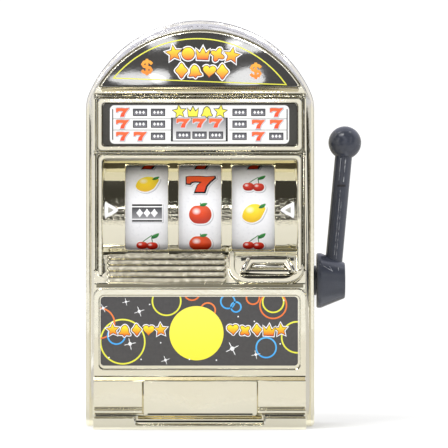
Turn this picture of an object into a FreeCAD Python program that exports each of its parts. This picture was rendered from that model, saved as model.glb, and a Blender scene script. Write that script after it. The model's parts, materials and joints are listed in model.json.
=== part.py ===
import FreeCAD, Part
import math
import os
import re
import Sketcher
from FreeCAD import Vector

# Pocket slot machine: a plated clamshell case, three printed reels on one driven axle and a side lever.
# X points to the viewer's right, the front faces -Y, Z is up. Y = 0 is the plane of the reel axle and the
# lever shaft, Z = 0 is the surface the case stands on, X = 0 the middle of the case. Lengths are in mm.

doc = FreeCAD.newDocument("PocketSlotMachine")
sheet = doc.addObject("Spreadsheet::Sheet", "Dimensions")

DIMENSIONS = {
    # depths of the front moulding, measured forward from the axle plane
    "parting_depth": 6.0,
    "face_depth": 16.0,
    "ridge_depth": 17.0,
    "shelf_depth": 18.6,
    "belly_depth": 21.0,
    "plinth_depth": 21.8,
    "block_depth": 22.4,
    "foot_depth": 22.7,
    "skin": 1.8,
    # outline of the front moulding
    "face_half": 28.8,
    "face_arch_centre": 75.75,
    "face_arch_radius": 32.9,
    "parting_half": 30.5,
    "parting_arch_radius": 32.4,
    "cavity_half": 27.4,
    # outline of the rear shell
    "flange_half": 31.4,
    "flange_arch_radius": 33.3,
    "rear_arch_centre": 78.3,
    "flange_thickness": 1.8,
    "rear_half": 30.6,
    "rear_arch_radius": 32.5,
    "rear_depth": 16.0,
    "rear_wall": 1.5,
    "rear_edge_radius": 2.0,
    "foot_corner_radius": 1.1,
    # marquee
    "bar_bottom": 91.1,
    "bar_top": 93.0,
    "marquee_arch_radius": 32.4,
    "marquee_recess": 0.7,
    "marquee_gap": 0.4,
    "marquee_wall": 1.6,
    # pay-table frame
    "table_half": 27.75,
    "table_bottom": 75.6,
    "table_top": 89.8,
    "table_ridge": 1.1,
    "table_recess": 1.4,
    "table_corner": 1.1,
    "table_floor_corner": 0.9,
    "label_gap": 0.2,
    # reel frame, convex panel, windows and deck
    "reel_frame_half": 27.6,
    "reel_frame_top": 74.4,
    "reel_ridge": 1.0,
    "reel_frame_corner": 1.3,
    "reel_floor_corner": 1.1,
    # shallow channels beside and between the borders
    "channel_half": 0.48,
    "channel_depth": 0.4,
    "channel_floor": 0.3,
    "channel_out": 28.25,
    "panel_radius": 18.0,
    "panel_thickness": 1.2,
    "panel_centre": 2.3,
    "panel_back": 7.0,
    "deck_top": 48.0,
    "deck_top_depth": 12.2,
    "deck_foot": 39.4,
    "window_half": 5.78,
    "window_bottom": 48.6,
    "window_top": 71.7,
    "window_corner": 0.8,
    "reel_pitch": 14.55,
    "rib_pitch": 2.0,
    "rib_half": 0.76,
    "rib_height": 0.6,
    "rib_left": -25.1,
    "rib_right": 7.0,
    "rib_first": 1.85,
    # coin head, on the plane of the deck and measured down the slope from its top edge
    "scoop_left": 7.9,
    "scoop_right": 28.3,
    "scoop_low": 10.9,
    "scoop_corner": 5.0,
    "scoop_wall": 1.5,
    "scoop_height": 0.9,
    "bezel_left": 10.9,
    "bezel_right": 26.3,
    "bezel_low": 7.9,
    "bezel_high": 3.0,
    "bezel_lean": 2.0,
    "bezel_height": 1.5,
    "throat_in": 1.45,
    "throat_depth": 1.3,
    # belly and plinth
    "belly_top": 38.0,
    "belly_bottom": 14.3,
    "belly_corner": 2.3,
    "belly_recess": 0.6,
    "belly_floor_left": -27.3,
    "belly_floor_right": 27.2,
    "belly_floor_bottom": 16.2,
    "belly_floor_top": 36.3,
    "belly_floor_corner": 1.4,
    "belly_label_gap": 0.4,
    "belly_label_lift": 1.0,
    "plinth_top": 13.2,
    "foot_top": 3.1,
    "step_low": 4.4,
    "step_high": 5.2,
    "step_groove": 0.9,
    "door_corner": 0.4,
    "door_left": -15.2,
    "door_right": 15.5,
    "door_bottom": 3.9,
    "tray_half": 17.6,
    "tray_lip": 1.2,
    "tray_depth": 18.0,
    "tray_corner": 1.0,
    # reels and their axle
    "axle_height": 58.6,
    "drum_radius": 13.6,
    "drum_left": -5.95,
    "drum_right": 6.35,
    "star_width": 1.1,
    "star_radius": 12.6,
    "notch_depth": 1.2,
    "symbols": 10,
    "strip_thickness": 0.1,
    "axle_radius": 1.2,
    "running_gap": 0.05,
    "drum_wall": 1.2,
    "drum_hub_radius": 3.0,
    "spoke_hole_out": 7.6,
    "spoke_hole_radius": 2.1,
    "notch_half": 1.5,
    "clip_groove_radius": 0.95,
    "clip_radius": 2.3,
    "clip_mouth_half": 0.6,
    "washer_radius": 2.6,
    # gears, pressure angle in degrees
    "gear_module": 0.8,
    "pressure_angle": 25,
    "sector_teeth": 24,
    "pinion_teeth": 12,
    "gear_width": 1.9,
    "gear_left": 24.0,
    "idler_pin_radius": 0.8,
    "idler_collar_radius": 1.5,
    "sector_hub_radius": 4.0,
    "sector_post_radius": 0.5,
    "sector_post_height": 1.2,
    "sector_screw_head": 2.6,
    # chassis
    "left_cheek": -24.2,
    "right_cheek": 22.3,
    "cheek_thickness": 1.4,
    "chassis_back": 10.0,
    "chassis_top": 77.0,
    "chassis_bottom": 40.5,
    "plate_thickness": 1.4,
    "cheek_nose": 3.5,
    "cheek_nose_half": 5.0,
    "cheek_low": 47.0,
    "plate_low_top": 46.5,
    "plate_high_bottom": 70.5,
    # detent leaf springs
    "leaf_thickness": 0.2,
    "leaf_width": 0.8,
    "leaf_tab_half": 1.4,
    # lever
    "lever_height": 40.0,
    "shaft_radius": 2.5,
    "hub_left": 32.1,
    "hub_right": 40.0,
    "hub_radius": 7.6,
    "hub_end_radius": 4.9,
    "arm_radius": 2.38,
    "arm_root": 36.45,
    "arm_lean": 5.3,
    "arm_length": 34.4,
    "knob_radius": 4.55,
    "knob_height": 38.25,
    "socket_depth": 9.0,
    "hub_round": 0.55,
    "hub_flat": 1.2,
    "spigot_step": 0.9,
    "shaft_step": 0.5,
    "tapping_depth": 5.5,
    "bush_radius": 3.2,
    "bush_flange": 4.1,
    "seat_radius": 4.4,
    # return spring
    "coil_wire": 0.25,
    "coil_radius": 3.2,
    "coil_start": 26.45,
    "coil_pitch": 0.56,
    "coil_turns": 3,
    "coil_short_leg": 5.2,
    "coil_long_leg": 9.0,
    # fasteners and labels
    "case_screw_out": 24.6,
    "case_screw_low": 8.0,
    "case_screw_high_out": 21.0,
    "case_screw_high": 93.0,
    "chassis_screw_out": 15.0,
    "chassis_screw_high": 74.0,
    "chassis_screw_low": 43.4,
    "pillar_radius": 2.3,
    "pilot_radius": 0.8,
    "pilot_depth": 7.0,
    "tube_radius": 2.6,
    "clearance_radius": 0.95,
    "counterbore_radius": 1.9,
    "counterbore_depth": 3.5,
    "boss_radius": 2.2,
    "boss_pilot_depth": 3.7,
    "drive_depth": 0.5,
    "screw_radius": 0.78,
    "label_thickness": 0.12,
}
for row, (alias, number) in enumerate(DIMENSIONS.items(), start=1):
    sheet.set(f"A{row}", alias)
    sheet.set(f"B{row}", str(number))
    sheet.setAlias(f"B{row}", alias)
doc.recompute()

pieces = []

# case screws: distance from the middle, height, and how far their pillars reach forward
CASE_SCREWS = (
    ("case_screw_out", "case_screw_low", "belly_depth - parting_depth - 1.5"),
    ("case_screw_high_out", "case_screw_high", "face_depth - parting_depth - 1.2"),
)
REELS = (("left", "-reel_pitch"), ("centre", "0"), ("right", "reel_pitch"))
# the height at which the deck's slope leaves the face of the case
WEDGE_TOP = (
    "deck_top - (face_depth - deck_top_depth) * (deck_top - deck_foot) / (shelf_depth - deck_top_depth)"
)


# ---------------------------------------------------------------- helpers
def value(text):
    """The number that an expression on the sheet's aliases gives."""
    return float(sheet.evalExpression(str(text)))


def cells(text):
    """The same expression with each alias written as a cell of the sheet."""
    word = r"[A-Za-z_]\w*"
    return re.sub(word, lambda m: f"Dimensions.{m[0]}" if m[0] in DIMENSIONS else m[0], str(text))


def bind(thing, **settings):
    """Bind properties of an object to expressions on the sheet."""
    for name, text in settings.items():
        thing.setExpression(name, cells(text))


def new_body(label, across="0", along="0", up="0"):
    body = doc.addObject("PartDesign::Body", label)
    body.Label = label
    for axis, text in (("x", across), ("y", along), ("z", up)):
        body.setExpression(f"Placement.Base.{axis}", cells(text))
    pieces.append(body)
    return body


def origin_feature(body, role):
    return next(item for item in body.Origin.OriginFeatures if item.Role == role)


def new_sketch(body, role, offset="0"):
    """A sketch on one of the body's own origin planes, moved along that plane's normal.

    XZ_Plane looks back along +Y: its sketch x is X, its y is Z, and a positive offset moves it forward.
    YZ_Plane: sketch x is Y, sketch y is Z. XY_Plane: sketch x is X, sketch y is Y.
    """
    drawing = body.newObject("Sketcher::SketchObject", f"{body.Label}_sketch")
    drawing.AttachmentSupport = [(origin_feature(body, role), "")]
    drawing.MapMode = "FlatFace"
    drawing.setExpression("AttachmentOffset.Base.z", cells(offset))
    return drawing


def pin(drawing, shape, point, across, up):
    """Fix one point of a shape at two expressions, measured from the sketch's origin."""
    for kind, text in (("DistanceX", across), ("DistanceY", up)):
        index = drawing.addConstraint(Sketcher.Constraint(kind, -1, 1, shape, point, value(text)))
        drawing.setExpression(f"Constraints[{index}]", cells(text))


def draw_polygon(drawing, corners):
    """Straight edges through corners given as pairs of expressions."""
    points = [Vector(value(a), value(b)) for a, b in corners]
    lines = []
    for start, end in zip(points, points[1:] + points[:1]):
        lines.append(drawing.addGeometry(Part.LineSegment(start, end)))
    for line, following in zip(lines, lines[1:] + lines[:1]):
        drawing.addConstraint(Sketcher.Constraint("Coincident", line, 2, following, 1))
    for line, (across, up) in zip(lines, corners):
        pin(drawing, line, 1, across, up)


def draw_rectangle(drawing, left, right, bottom, top):
    draw_polygon(drawing, [(left, bottom), (right, bottom), (right, top), (left, top)])


def draw_circle(drawing, across, up, radius):
    circle = Part.Circle(Vector(value(across), value(up)), Vector(0, 0, 1), value(radius))
    shape = drawing.addGeometry(circle)
    pin(drawing, shape, 3, across, up)
    index = drawing.addConstraint(Sketcher.Constraint("Radius", shape, value(radius)))
    drawing.setExpression(f"Constraints[{index}]", cells(radius))


def draw_rounded(drawing, left, right, bottom, top, radius, low_radius=None):
    """A rectangle with round corners; low_radius, if given, is that of the two lower corners."""
    low = radius if low_radius is None else low_radius
    corners = [
        (f"{left} + ({low})", f"{bottom} + ({low})", low, 180),
        (f"{right} - ({low})", f"{bottom} + ({low})", low, 270),
        (f"{right} - ({radius})", f"{top} - ({radius})", radius, 0),
        (f"{left} + ({radius})", f"{top} - ({radius})", radius, 90),
    ]
    arcs = []
    for across, up, size, start in corners:
        circle = Part.Circle(Vector(value(across), value(up)), Vector(0, 0, 1), value(size))
        arc = Part.ArcOfCircle(circle, math.radians(start), math.radians(start + 90))
        arcs.append(drawing.addGeometry(arc))
    for arc, following in zip(arcs, arcs[1:] + arcs[:1]):
        start = drawing.getPoint(arc, 2)
        end = drawing.getPoint(following, 1)
        line = drawing.addGeometry(Part.LineSegment(start, end))
        drawing.addConstraint(Sketcher.Constraint("Tangent", arc, 2, line, 1))
        drawing.addConstraint(Sketcher.Constraint("Tangent", line, 2, following, 1))
    for arc, (across, up, size, _start) in zip(arcs, corners):
        pin(drawing, arc, 3, across, up)
        index = drawing.addConstraint(Sketcher.Constraint("Radius", arc, value(size)))
        drawing.setExpression(f"Constraints[{index}]", cells(size))


def draw_arch(drawing, half, bottom, centre, radius):
    """Straight sides and floor under a circular arch that meets the sides."""
    across, floor = value(half), value(bottom)
    middle, size = value(centre), value(radius)
    spring = middle + math.sqrt(size**2 - across**2)
    reach = math.atan2(spring - middle, across)
    circle = Part.Circle(Vector(0, middle), Vector(0, 0, 1), size)
    arc = drawing.addGeometry(Part.ArcOfCircle(circle, reach, math.pi - reach))
    points = [Vector(-across, spring), Vector(-across, floor), Vector(across, floor), Vector(across, spring)]
    lines = []
    for start, end in zip(points, points[1:]):
        lines.append(drawing.addGeometry(Part.LineSegment(start, end)))
    chain = [arc] + lines
    for shape, following in zip(chain, chain[1:] + chain[:1]):
        drawing.addConstraint(Sketcher.Constraint("Coincident", shape, 2, following, 1))
    drawing.addConstraint(Sketcher.Constraint("Vertical", lines[0]))
    drawing.addConstraint(Sketcher.Constraint("Vertical", lines[2]))
    pin(drawing, lines[1], 1, f"-({half})", bottom)
    pin(drawing, lines[1], 2, half, bottom)
    pin(drawing, arc, 3, "0", centre)
    index = drawing.addConstraint(Sketcher.Constraint("Radius", arc, size))
    drawing.setExpression(f"Constraints[{index}]", cells(radius))


def draw_arch_segment(drawing, base, centre, radius):
    """The part of a disc above a level base line."""
    middle, size = value(centre), value(radius)
    rise = value(base) - middle
    across = math.sqrt(size**2 - rise**2)
    reach = math.atan2(rise, across)
    circle = Part.Circle(Vector(0, middle), Vector(0, 0, 1), size)
    arc = drawing.addGeometry(Part.ArcOfCircle(circle, reach, math.pi - reach))
    chord = Part.LineSegment(Vector(-across, value(base)), Vector(across, value(base)))
    line = drawing.addGeometry(chord)
    drawing.addConstraint(Sketcher.Constraint("Coincident", arc, 2, line, 1))
    drawing.addConstraint(Sketcher.Constraint("Coincident", line, 2, arc, 1))
    drawing.addConstraint(Sketcher.Constraint("Horizontal", line))
    pin(drawing, arc, 3, "0", centre)
    for kind, text in (("Radius", radius), ("DistanceY", base)):
        where = (arc,) if kind == "Radius" else (-1, 1, line, 1)
        index = drawing.addConstraint(Sketcher.Constraint(kind, *where, value(text)))
        drawing.setExpression(f"Constraints[{index}]", cells(text))


def pad(body, drawing, length, reversed_=False, both_sides=False):
    feature = body.newObject("PartDesign::Pad", f"{body.Label}_pad")
    feature.Profile = drawing
    feature.Reversed = reversed_
    if both_sides:
        feature.SideType = "Symmetric"
    bind(feature, Length=length)
    return feature


def pocket(body, drawing, length, reversed_=False, both_sides=False):
    """Cut along the sketch's normal, backwards from it unless reversed; refuses to cut nothing."""
    before = body.Shape.Volume
    feature = body.newObject("PartDesign::Pocket", f"{body.Label}_pocket")
    feature.Profile = drawing
    feature.Reversed = reversed_
    if both_sides:
        feature.SideType = "Symmetric"
    bind(feature, Length=length)
    doc.recompute()
    if feature.Shape.Volume > before - 1e-6:
        raise RuntimeError(f"a pocket in {body.Label} cuts nothing")
    return feature


def turned(body, outline, role="XY_Plane", axis="H_Axis"):
    """Revolve an outline, given as pairs of expressions (place along the axis, radius)."""
    drawing = new_sketch(body, role)
    draw_polygon(drawing, outline)
    feature = body.newObject("PartDesign::Revolution", f"{body.Label}_turned")
    feature.Profile = drawing
    feature.ReferenceAxis = (drawing, [axis])
    feature.Angle = 360
    doc.recompute()
    return feature


def polar(body, feature, count, turn, axis_role="X_Axis"):
    pattern = body.newObject("PartDesign::PolarPattern", f"{body.Label}_pattern")
    pattern.Originals = [feature]
    pattern.Axis = (origin_feature(body, axis_role), [""])
    pattern.Angle = turn
    pattern.Occurrences = count
    body.Tip = pattern
    doc.recompute()
    return pattern


def edges_where(shape, test):
    return [f"Edge{n}" for n, edge in enumerate(shape.Edges, start=1) if test(edge)]


def round_edges(body, radius, test):
    doc.recompute()
    base = body.Tip
    names = edges_where(base.Shape, test)
    if not names:
        raise RuntimeError(f"no edge of {body.Label} to round")
    feature = body.newObject("PartDesign::Fillet", f"{body.Label}_fillet")
    feature.Base = (base, names)
    bind(feature, Radius=radius)
    doc.recompute()
    if "Invalid" in feature.State or not feature.Shape.isValid():
        raise RuntimeError(f"edges {names} of {body.Label} cannot be rounded")
    return feature


def along_y_at(across, up, slack=0.05):
    """A test for straight edges along Y that pass through a point of the front view."""

    def test(edge):
        ends = [vertex.Point for vertex in edge.Vertexes]
        if len(ends) != 2:
            return False
        return all(abs(p.x - across) < slack and abs(p.z - up) < slack for p in ends)

    return test


# ---------------------------------------------------------------- front case
def deck_sketch(body):
    """A sketch in the plane of the deck: x is X, y points up the slope from the deck's top edge.

    The deck falls forward from the foot of the reel panel to the shelf above the belly.
    """
    drawing = new_sketch(body, "XZ_Plane", "deck_top_depth")
    drawing.setExpression("AttachmentOffset.Base.y", cells("deck_top"))
    drawing.setExpression("AttachmentOffset.Rotation.Axis.x", "1")
    drawing.setExpression("AttachmentOffset.Rotation.Axis.z", "0")
    tilt = "-atan2(shelf_depth - deck_top_depth; deck_top - deck_foot)"
    drawing.setExpression("AttachmentOffset.Rotation.Angle", cells(tilt))
    return drawing


def front_case():
    body = new_body("front_case")
    rim = new_sketch(body, "XZ_Plane", "parting_depth")
    draw_arch(rim, "parting_half", "0", "rear_arch_centre", "parting_arch_radius")
    face = new_sketch(body, "XZ_Plane", "face_depth")
    draw_arch(face, "face_half", "0", "face_arch_centre", "face_arch_radius")
    loft = body.newObject("PartDesign::AdditiveLoft", "front_case_loft")
    loft.Profile = rim
    loft.Sections = [face]
    loft.Ruled = True
    doc.recompute()

    # raised marquee border, pay-table border and reel border
    marquee = new_sketch(body, "XZ_Plane", "face_depth")
    draw_arch(marquee, "face_half", "bar_bottom", "face_arch_centre", "face_arch_radius")
    pad(body, marquee, "ridge_depth - face_depth")
    table = new_sketch(body, "XZ_Plane", "face_depth")
    draw_rounded(table, "-table_half", "table_half", "table_bottom", "table_top", "table_corner")
    pad(body, table, "ridge_depth - face_depth")
    border = new_sketch(body, "XZ_Plane", "face_depth")
    frame_box = ("-reel_frame_half", "reel_frame_half", "deck_foot", "reel_frame_top")
    draw_rounded(border, *frame_box, "reel_frame_corner")
    pad(body, border, "ridge_depth - face_depth")

    # wedge under the deck, belly plate and plinth
    wedge = new_sketch(body, "YZ_Plane")
    wedge_corners = [
        ("-face_depth", "0"),
        ("-shelf_depth", "0"),
        ("-shelf_depth", "deck_foot"),
        ("-face_depth", WEDGE_TOP),
    ]
    draw_polygon(wedge, wedge_corners)
    pad(body, wedge, "2 * face_half", both_sides=True)
    belly = new_sketch(body, "XZ_Plane", "shelf_depth")
    draw_rounded(belly, "-face_half", "face_half", "plinth_top", "belly_top", "belly_corner", "0.05")
    pad(body, belly, "belly_depth - shelf_depth")
    plinth = new_sketch(body, "YZ_Plane")
    plinth_corners = [
        ("-shelf_depth", "0"),
        ("-foot_depth", "0"),
        ("-foot_depth", "foot_top"),
        ("-belly_depth", "foot_top + 0.2"),
        ("-belly_depth", "step_low - 0.3"),
        ("-plinth_depth", "step_low"),
        ("-plinth_depth", "step_high"),
        ("-belly_depth", "step_high + 0.2"),
        ("-belly_depth", "step_high + 0.7"),
        ("-plinth_depth", "step_high + step_groove"),
        ("-plinth_depth", "plinth_top"),
        ("-belly_depth", "belly_bottom"),
        ("-shelf_depth", "belly_bottom"),
    ]
    draw_polygon(plinth, plinth_corners)
    pad(body, plinth, "2 * face_half", both_sides=True)
    door = new_sketch(body, "XZ_Plane", "shelf_depth")
    draw_rounded(door, "door_left", "door_right", "door_bottom", "plinth_top", "door_corner")
    pad(body, door, "block_depth - shelf_depth")
    doc.recompute()

    # payout tray under the door, open to the front above its lip
    tray = new_sketch(body, "XZ_Plane", "foot_depth + 0.3")
    draw_rounded(tray, "-tray_half", "tray_half", "tray_lip", "door_bottom", "tray_corner")
    pocket(body, tray, "foot_depth + 0.3 - tray_depth")

    # shallow recesses for the three labels
    marquee_floor = new_sketch(body, "XZ_Plane", "ridge_depth")
    draw_arch_segment(marquee_floor, "bar_top", "face_arch_centre", "marquee_arch_radius")
    pocket(body, marquee_floor, "marquee_recess")
    table_floor = new_sketch(body, "XZ_Plane", "ridge_depth")
    draw_rounded(
        table_floor,
        "-table_half + table_ridge",
        "table_half - table_ridge",
        "table_bottom + table_ridge + 0.1",
        "table_top - table_ridge - 0.1",
        "table_floor_corner",
    )
    pocket(body, table_floor, "table_recess")
    belly_floor = new_sketch(body, "XZ_Plane", "belly_depth")
    belly_box = ("belly_floor_left", "belly_floor_right", "belly_floor_bottom", "belly_floor_top")
    draw_rounded(belly_floor, *belly_box, "belly_floor_corner")
    pocket(body, belly_floor, "belly_recess")

    # the space in front of the reel panel and above the deck
    recess = new_sketch(body, "YZ_Plane")
    recess_corners = [
        ("-panel_back", "deck_top"),
        ("-deck_top_depth", "deck_top"),
        ("-shelf_depth", "deck_foot"),
        ("-belly_depth - 2", "deck_foot"),
        ("-belly_depth - 2", "reel_frame_top - reel_ridge"),
        ("-panel_back", "reel_frame_top - reel_ridge"),
    ]
    draw_polygon(recess, recess_corners)
    pocket(body, recess, "2 * (reel_frame_half - reel_ridge)", both_sides=True)
    inner = value("reel_frame_half - reel_ridge")
    top = value("reel_frame_top - reel_ridge")
    left_corner, right_corner = along_y_at(-inner, top), along_y_at(inner, top)
    round_edges(body, "reel_floor_corner", lambda edge: left_corner(edge) or right_corner(edge))
    doc.recompute()

    channels(body)

    # convex panel that the reels turn behind
    panel = new_sketch(body, "YZ_Plane")
    add_panel_outline(panel, "panel_radius")
    pad(body, panel, "2 * (reel_frame_half - reel_ridge) + 0.2", both_sides=True)
    doc.recompute()

    # hollow: the arch behind marquee and pay-table, then the bay behind panel, deck, belly and plinth
    upper = new_sketch(body, "XZ_Plane", "parting_depth")
    hollow_arch = "face_arch_radius - marquee_wall"
    draw_arch(upper, "cavity_half", "table_bottom - 0.3", "face_arch_centre", hollow_arch)
    pocket(body, upper, "face_depth - parting_depth - skin", reversed_=True)
    bay = new_sketch(body, "YZ_Plane")
    add_bay_outline(bay)
    pocket(body, bay, "2 * cavity_half", both_sides=True)

    # reel windows
    for place in ("-reel_pitch", "0", "reel_pitch"):
        window = new_sketch(body, "XZ_Plane", "ridge_depth")
        draw_rounded(
            window,
            f"{place} - window_half",
            f"{place} + window_half",
            "window_bottom",
            "window_top",
            "window_corner",
        )
        pocket(body, window, "ridge_depth - parting_depth")

    # ribs across the deck
    for step in range(5):
        ribs = deck_sketch(body)
        middle = f"-rib_first - {step} * rib_pitch"
        draw_rounded(
            ribs, "rib_left", "rib_right", f"{middle} - rib_half", f"{middle} + rib_half", "rib_half - 0.02"
        )
        pad(body, ribs, "rib_height")
    doc.recompute()

    # coin head: a raised scoop rim with a keystone bezel inside it
    scoop = deck_sketch(body)
    outer = ("scoop_left", "scoop_right", "-scoop_low", "-0.2")
    draw_rounded(scoop, *outer, "0.4", "scoop_corner")
    left, right = "scoop_left + scoop_wall", "scoop_right - 1.2 * scoop_wall"
    draw_rounded(scoop, left, right, "scoop_wall - 0.1 - scoop_low", "-0.7", "0.3", "scoop_corner - 0.8")
    pad(body, scoop, "scoop_height")
    bezel = deck_sketch(body)
    draw_polygon(bezel, keystone("0", "0"))
    pad(body, bezel, "bezel_height")
    doc.recompute()
    throat = deck_sketch(body)
    throat.setExpression("AttachmentOffset.Base.z", cells("deck_top_depth + 2"))
    draw_polygon(throat, keystone("throat_in", "0.7"))
    pocket(body, throat, "throat_depth")

    # pillars for the four case screws
    for across, up, reach in CASE_SCREWS:
        for side in (-1, 1):
            pillar = new_sketch(body, "XZ_Plane", "parting_depth")
            draw_circle(pillar, f"{side} * {across}", up, "pillar_radius")
            pad(body, pillar, reach)
            doc.recompute()
            pilot = new_sketch(body, "XZ_Plane", "parting_depth")
            draw_circle(pilot, f"{side} * {across}", up, "pilot_radius")
            pocket(body, pilot, "pilot_depth", reversed_=True)
    return body


def keystone(inset, margin):
    """The coin bezel's four corners, drawn in by inset at the sides and by margin at top and bottom."""
    low, high = f"{margin} - bezel_low", f"-bezel_high - ({margin})"
    left, right = f"bezel_left + ({inset})", f"bezel_right - ({inset})"
    return [(left, low), (right, low), (f"{right} - bezel_lean", high), (f"{left} + bezel_lean", high)]


def channels(body):
    """Shallow hollow-backed channels: one above and one below the pay-table, one down each side."""
    hollow = ((1.0, "-0.01"), (0.62, "channel_floor"), (0.0, "channel_depth"), (-0.62, "channel_floor"))
    hollow += ((-1.0, "-0.01"),)
    levels = ("(table_bottom + reel_frame_top) / 2", "(table_top + bar_bottom) / 2")
    for level in levels:
        across = new_sketch(body, "YZ_Plane")
        corners = [(f"{deep} - face_depth", f"{level} + {share} * channel_half") for share, deep in hollow]
        draw_polygon(across, corners)
        pocket(body, across, "2 * face_half", both_sides=True)
    for side in (-1, 1):
        down = new_sketch(body, "XY_Plane", WEDGE_TOP)
        corners = []
        for share, deep in hollow:
            corners.append((f"{side} * channel_out + {share} * channel_half", f"{deep} - face_depth"))
        draw_polygon(down, corners)
        pocket(body, down, f"bar_bottom - ({WEDGE_TOP})", reversed_=True)


def add_panel_outline(drawing, radius):
    """A slab whose front is an arc about the panel's own centre line, between deck and reel border."""
    size, middle, level = value(radius), value("panel_centre"), value("axle_height")
    back, low = value("-panel_back"), value("deck_top - 0.6")
    high = value("reel_frame_top - reel_ridge + 0.4")
    start = math.pi - math.asin((high - level) / size)
    end = math.pi + math.asin((level - low) / size)
    circle = Part.Circle(Vector(middle, level), Vector(0, 0, 1), size)
    arc = drawing.addGeometry(Part.ArcOfCircle(circle, start, end))
    top, bottom = drawing.getPoint(arc, 1), drawing.getPoint(arc, 2)
    points = [bottom, Vector(back + 0.4, low), Vector(back + 0.4, high), top]
    lines = []
    for first, second in zip(points, points[1:]):
        lines.append(drawing.addGeometry(Part.LineSegment(first, second)))
    chain = [arc] + lines
    for shape, following in zip(chain, chain[1:] + chain[:1]):
        drawing.addConstraint(Sketcher.Constraint("Coincident", shape, 2, following, 1))
    pin(drawing, arc, 3, "panel_centre", "axle_height")
    index = drawing.addConstraint(Sketcher.Constraint("Radius", arc, size))
    drawing.setExpression(f"Constraints[{index}]", cells(radius))
    pin(drawing, lines[0], 2, "0.4 - panel_back", "deck_top - 0.6")
    pin(drawing, lines[1], 2, "0.4 - panel_back", "reel_frame_top - reel_ridge + 0.4")
    drawing.addConstraint(Sketcher.Constraint("Horizontal", lines[0]))
    drawing.addConstraint(Sketcher.Constraint("Horizontal", lines[2]))


def add_bay_outline(drawing):
    """Side view of the hollow behind the panel, deck, belly and plinth."""
    radius = value("panel_radius - panel_thickness")
    middle, level = value("panel_centre"), value("axle_height")
    low, high = value("deck_top - 0.4"), value("reel_frame_top - reel_ridge - 0.9")
    start = math.pi - math.asin((high - level) / radius)
    end = math.pi + math.asin((level - low) / radius)
    circle = Part.Circle(Vector(middle, level), Vector(0, 0, 1), radius)
    arc = drawing.addGeometry(Part.ArcOfCircle(circle, start, end))
    top, bottom = drawing.getPoint(arc, 1), drawing.getPoint(arc, 2)
    opening = value("-parting_depth")
    points = [
        bottom,
        Vector(value("1.0 - shelf_depth"), value("deck_foot - 1.9")),
        Vector(value("1.8 - belly_depth"), value("belly_top - 1.5")),
        Vector(value("1.8 - belly_depth"), 6.0),
        Vector(-16.5, 5.2),
        Vector(-16.5, 1.6),
        Vector(opening, 1.6),
        Vector(opening, high),
        top,
    ]
    lines = []
    for first, second in zip(points, points[1:]):
        lines.append(drawing.addGeometry(Part.LineSegment(first, second)))
    chain = [arc] + lines
    for shape, following in zip(chain, chain[1:] + chain[:1]):
        drawing.addConstraint(Sketcher.Constraint("Coincident", shape, 2, following, 1))
    pin(drawing, arc, 3, "panel_centre", "axle_height")
    index = drawing.addConstraint(Sketcher.Constraint("Radius", arc, radius))
    drawing.setExpression(f"Constraints[{index}]", cells("panel_radius - panel_thickness"))
    pin(drawing, lines[0], 2, "1.0 - shelf_depth", "deck_foot - 1.9")
    pin(drawing, lines[1], 2, "1.8 - belly_depth", "belly_top - 1.5")
    pin(drawing, lines[5], 1, "-16.5", "1.6")



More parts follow.
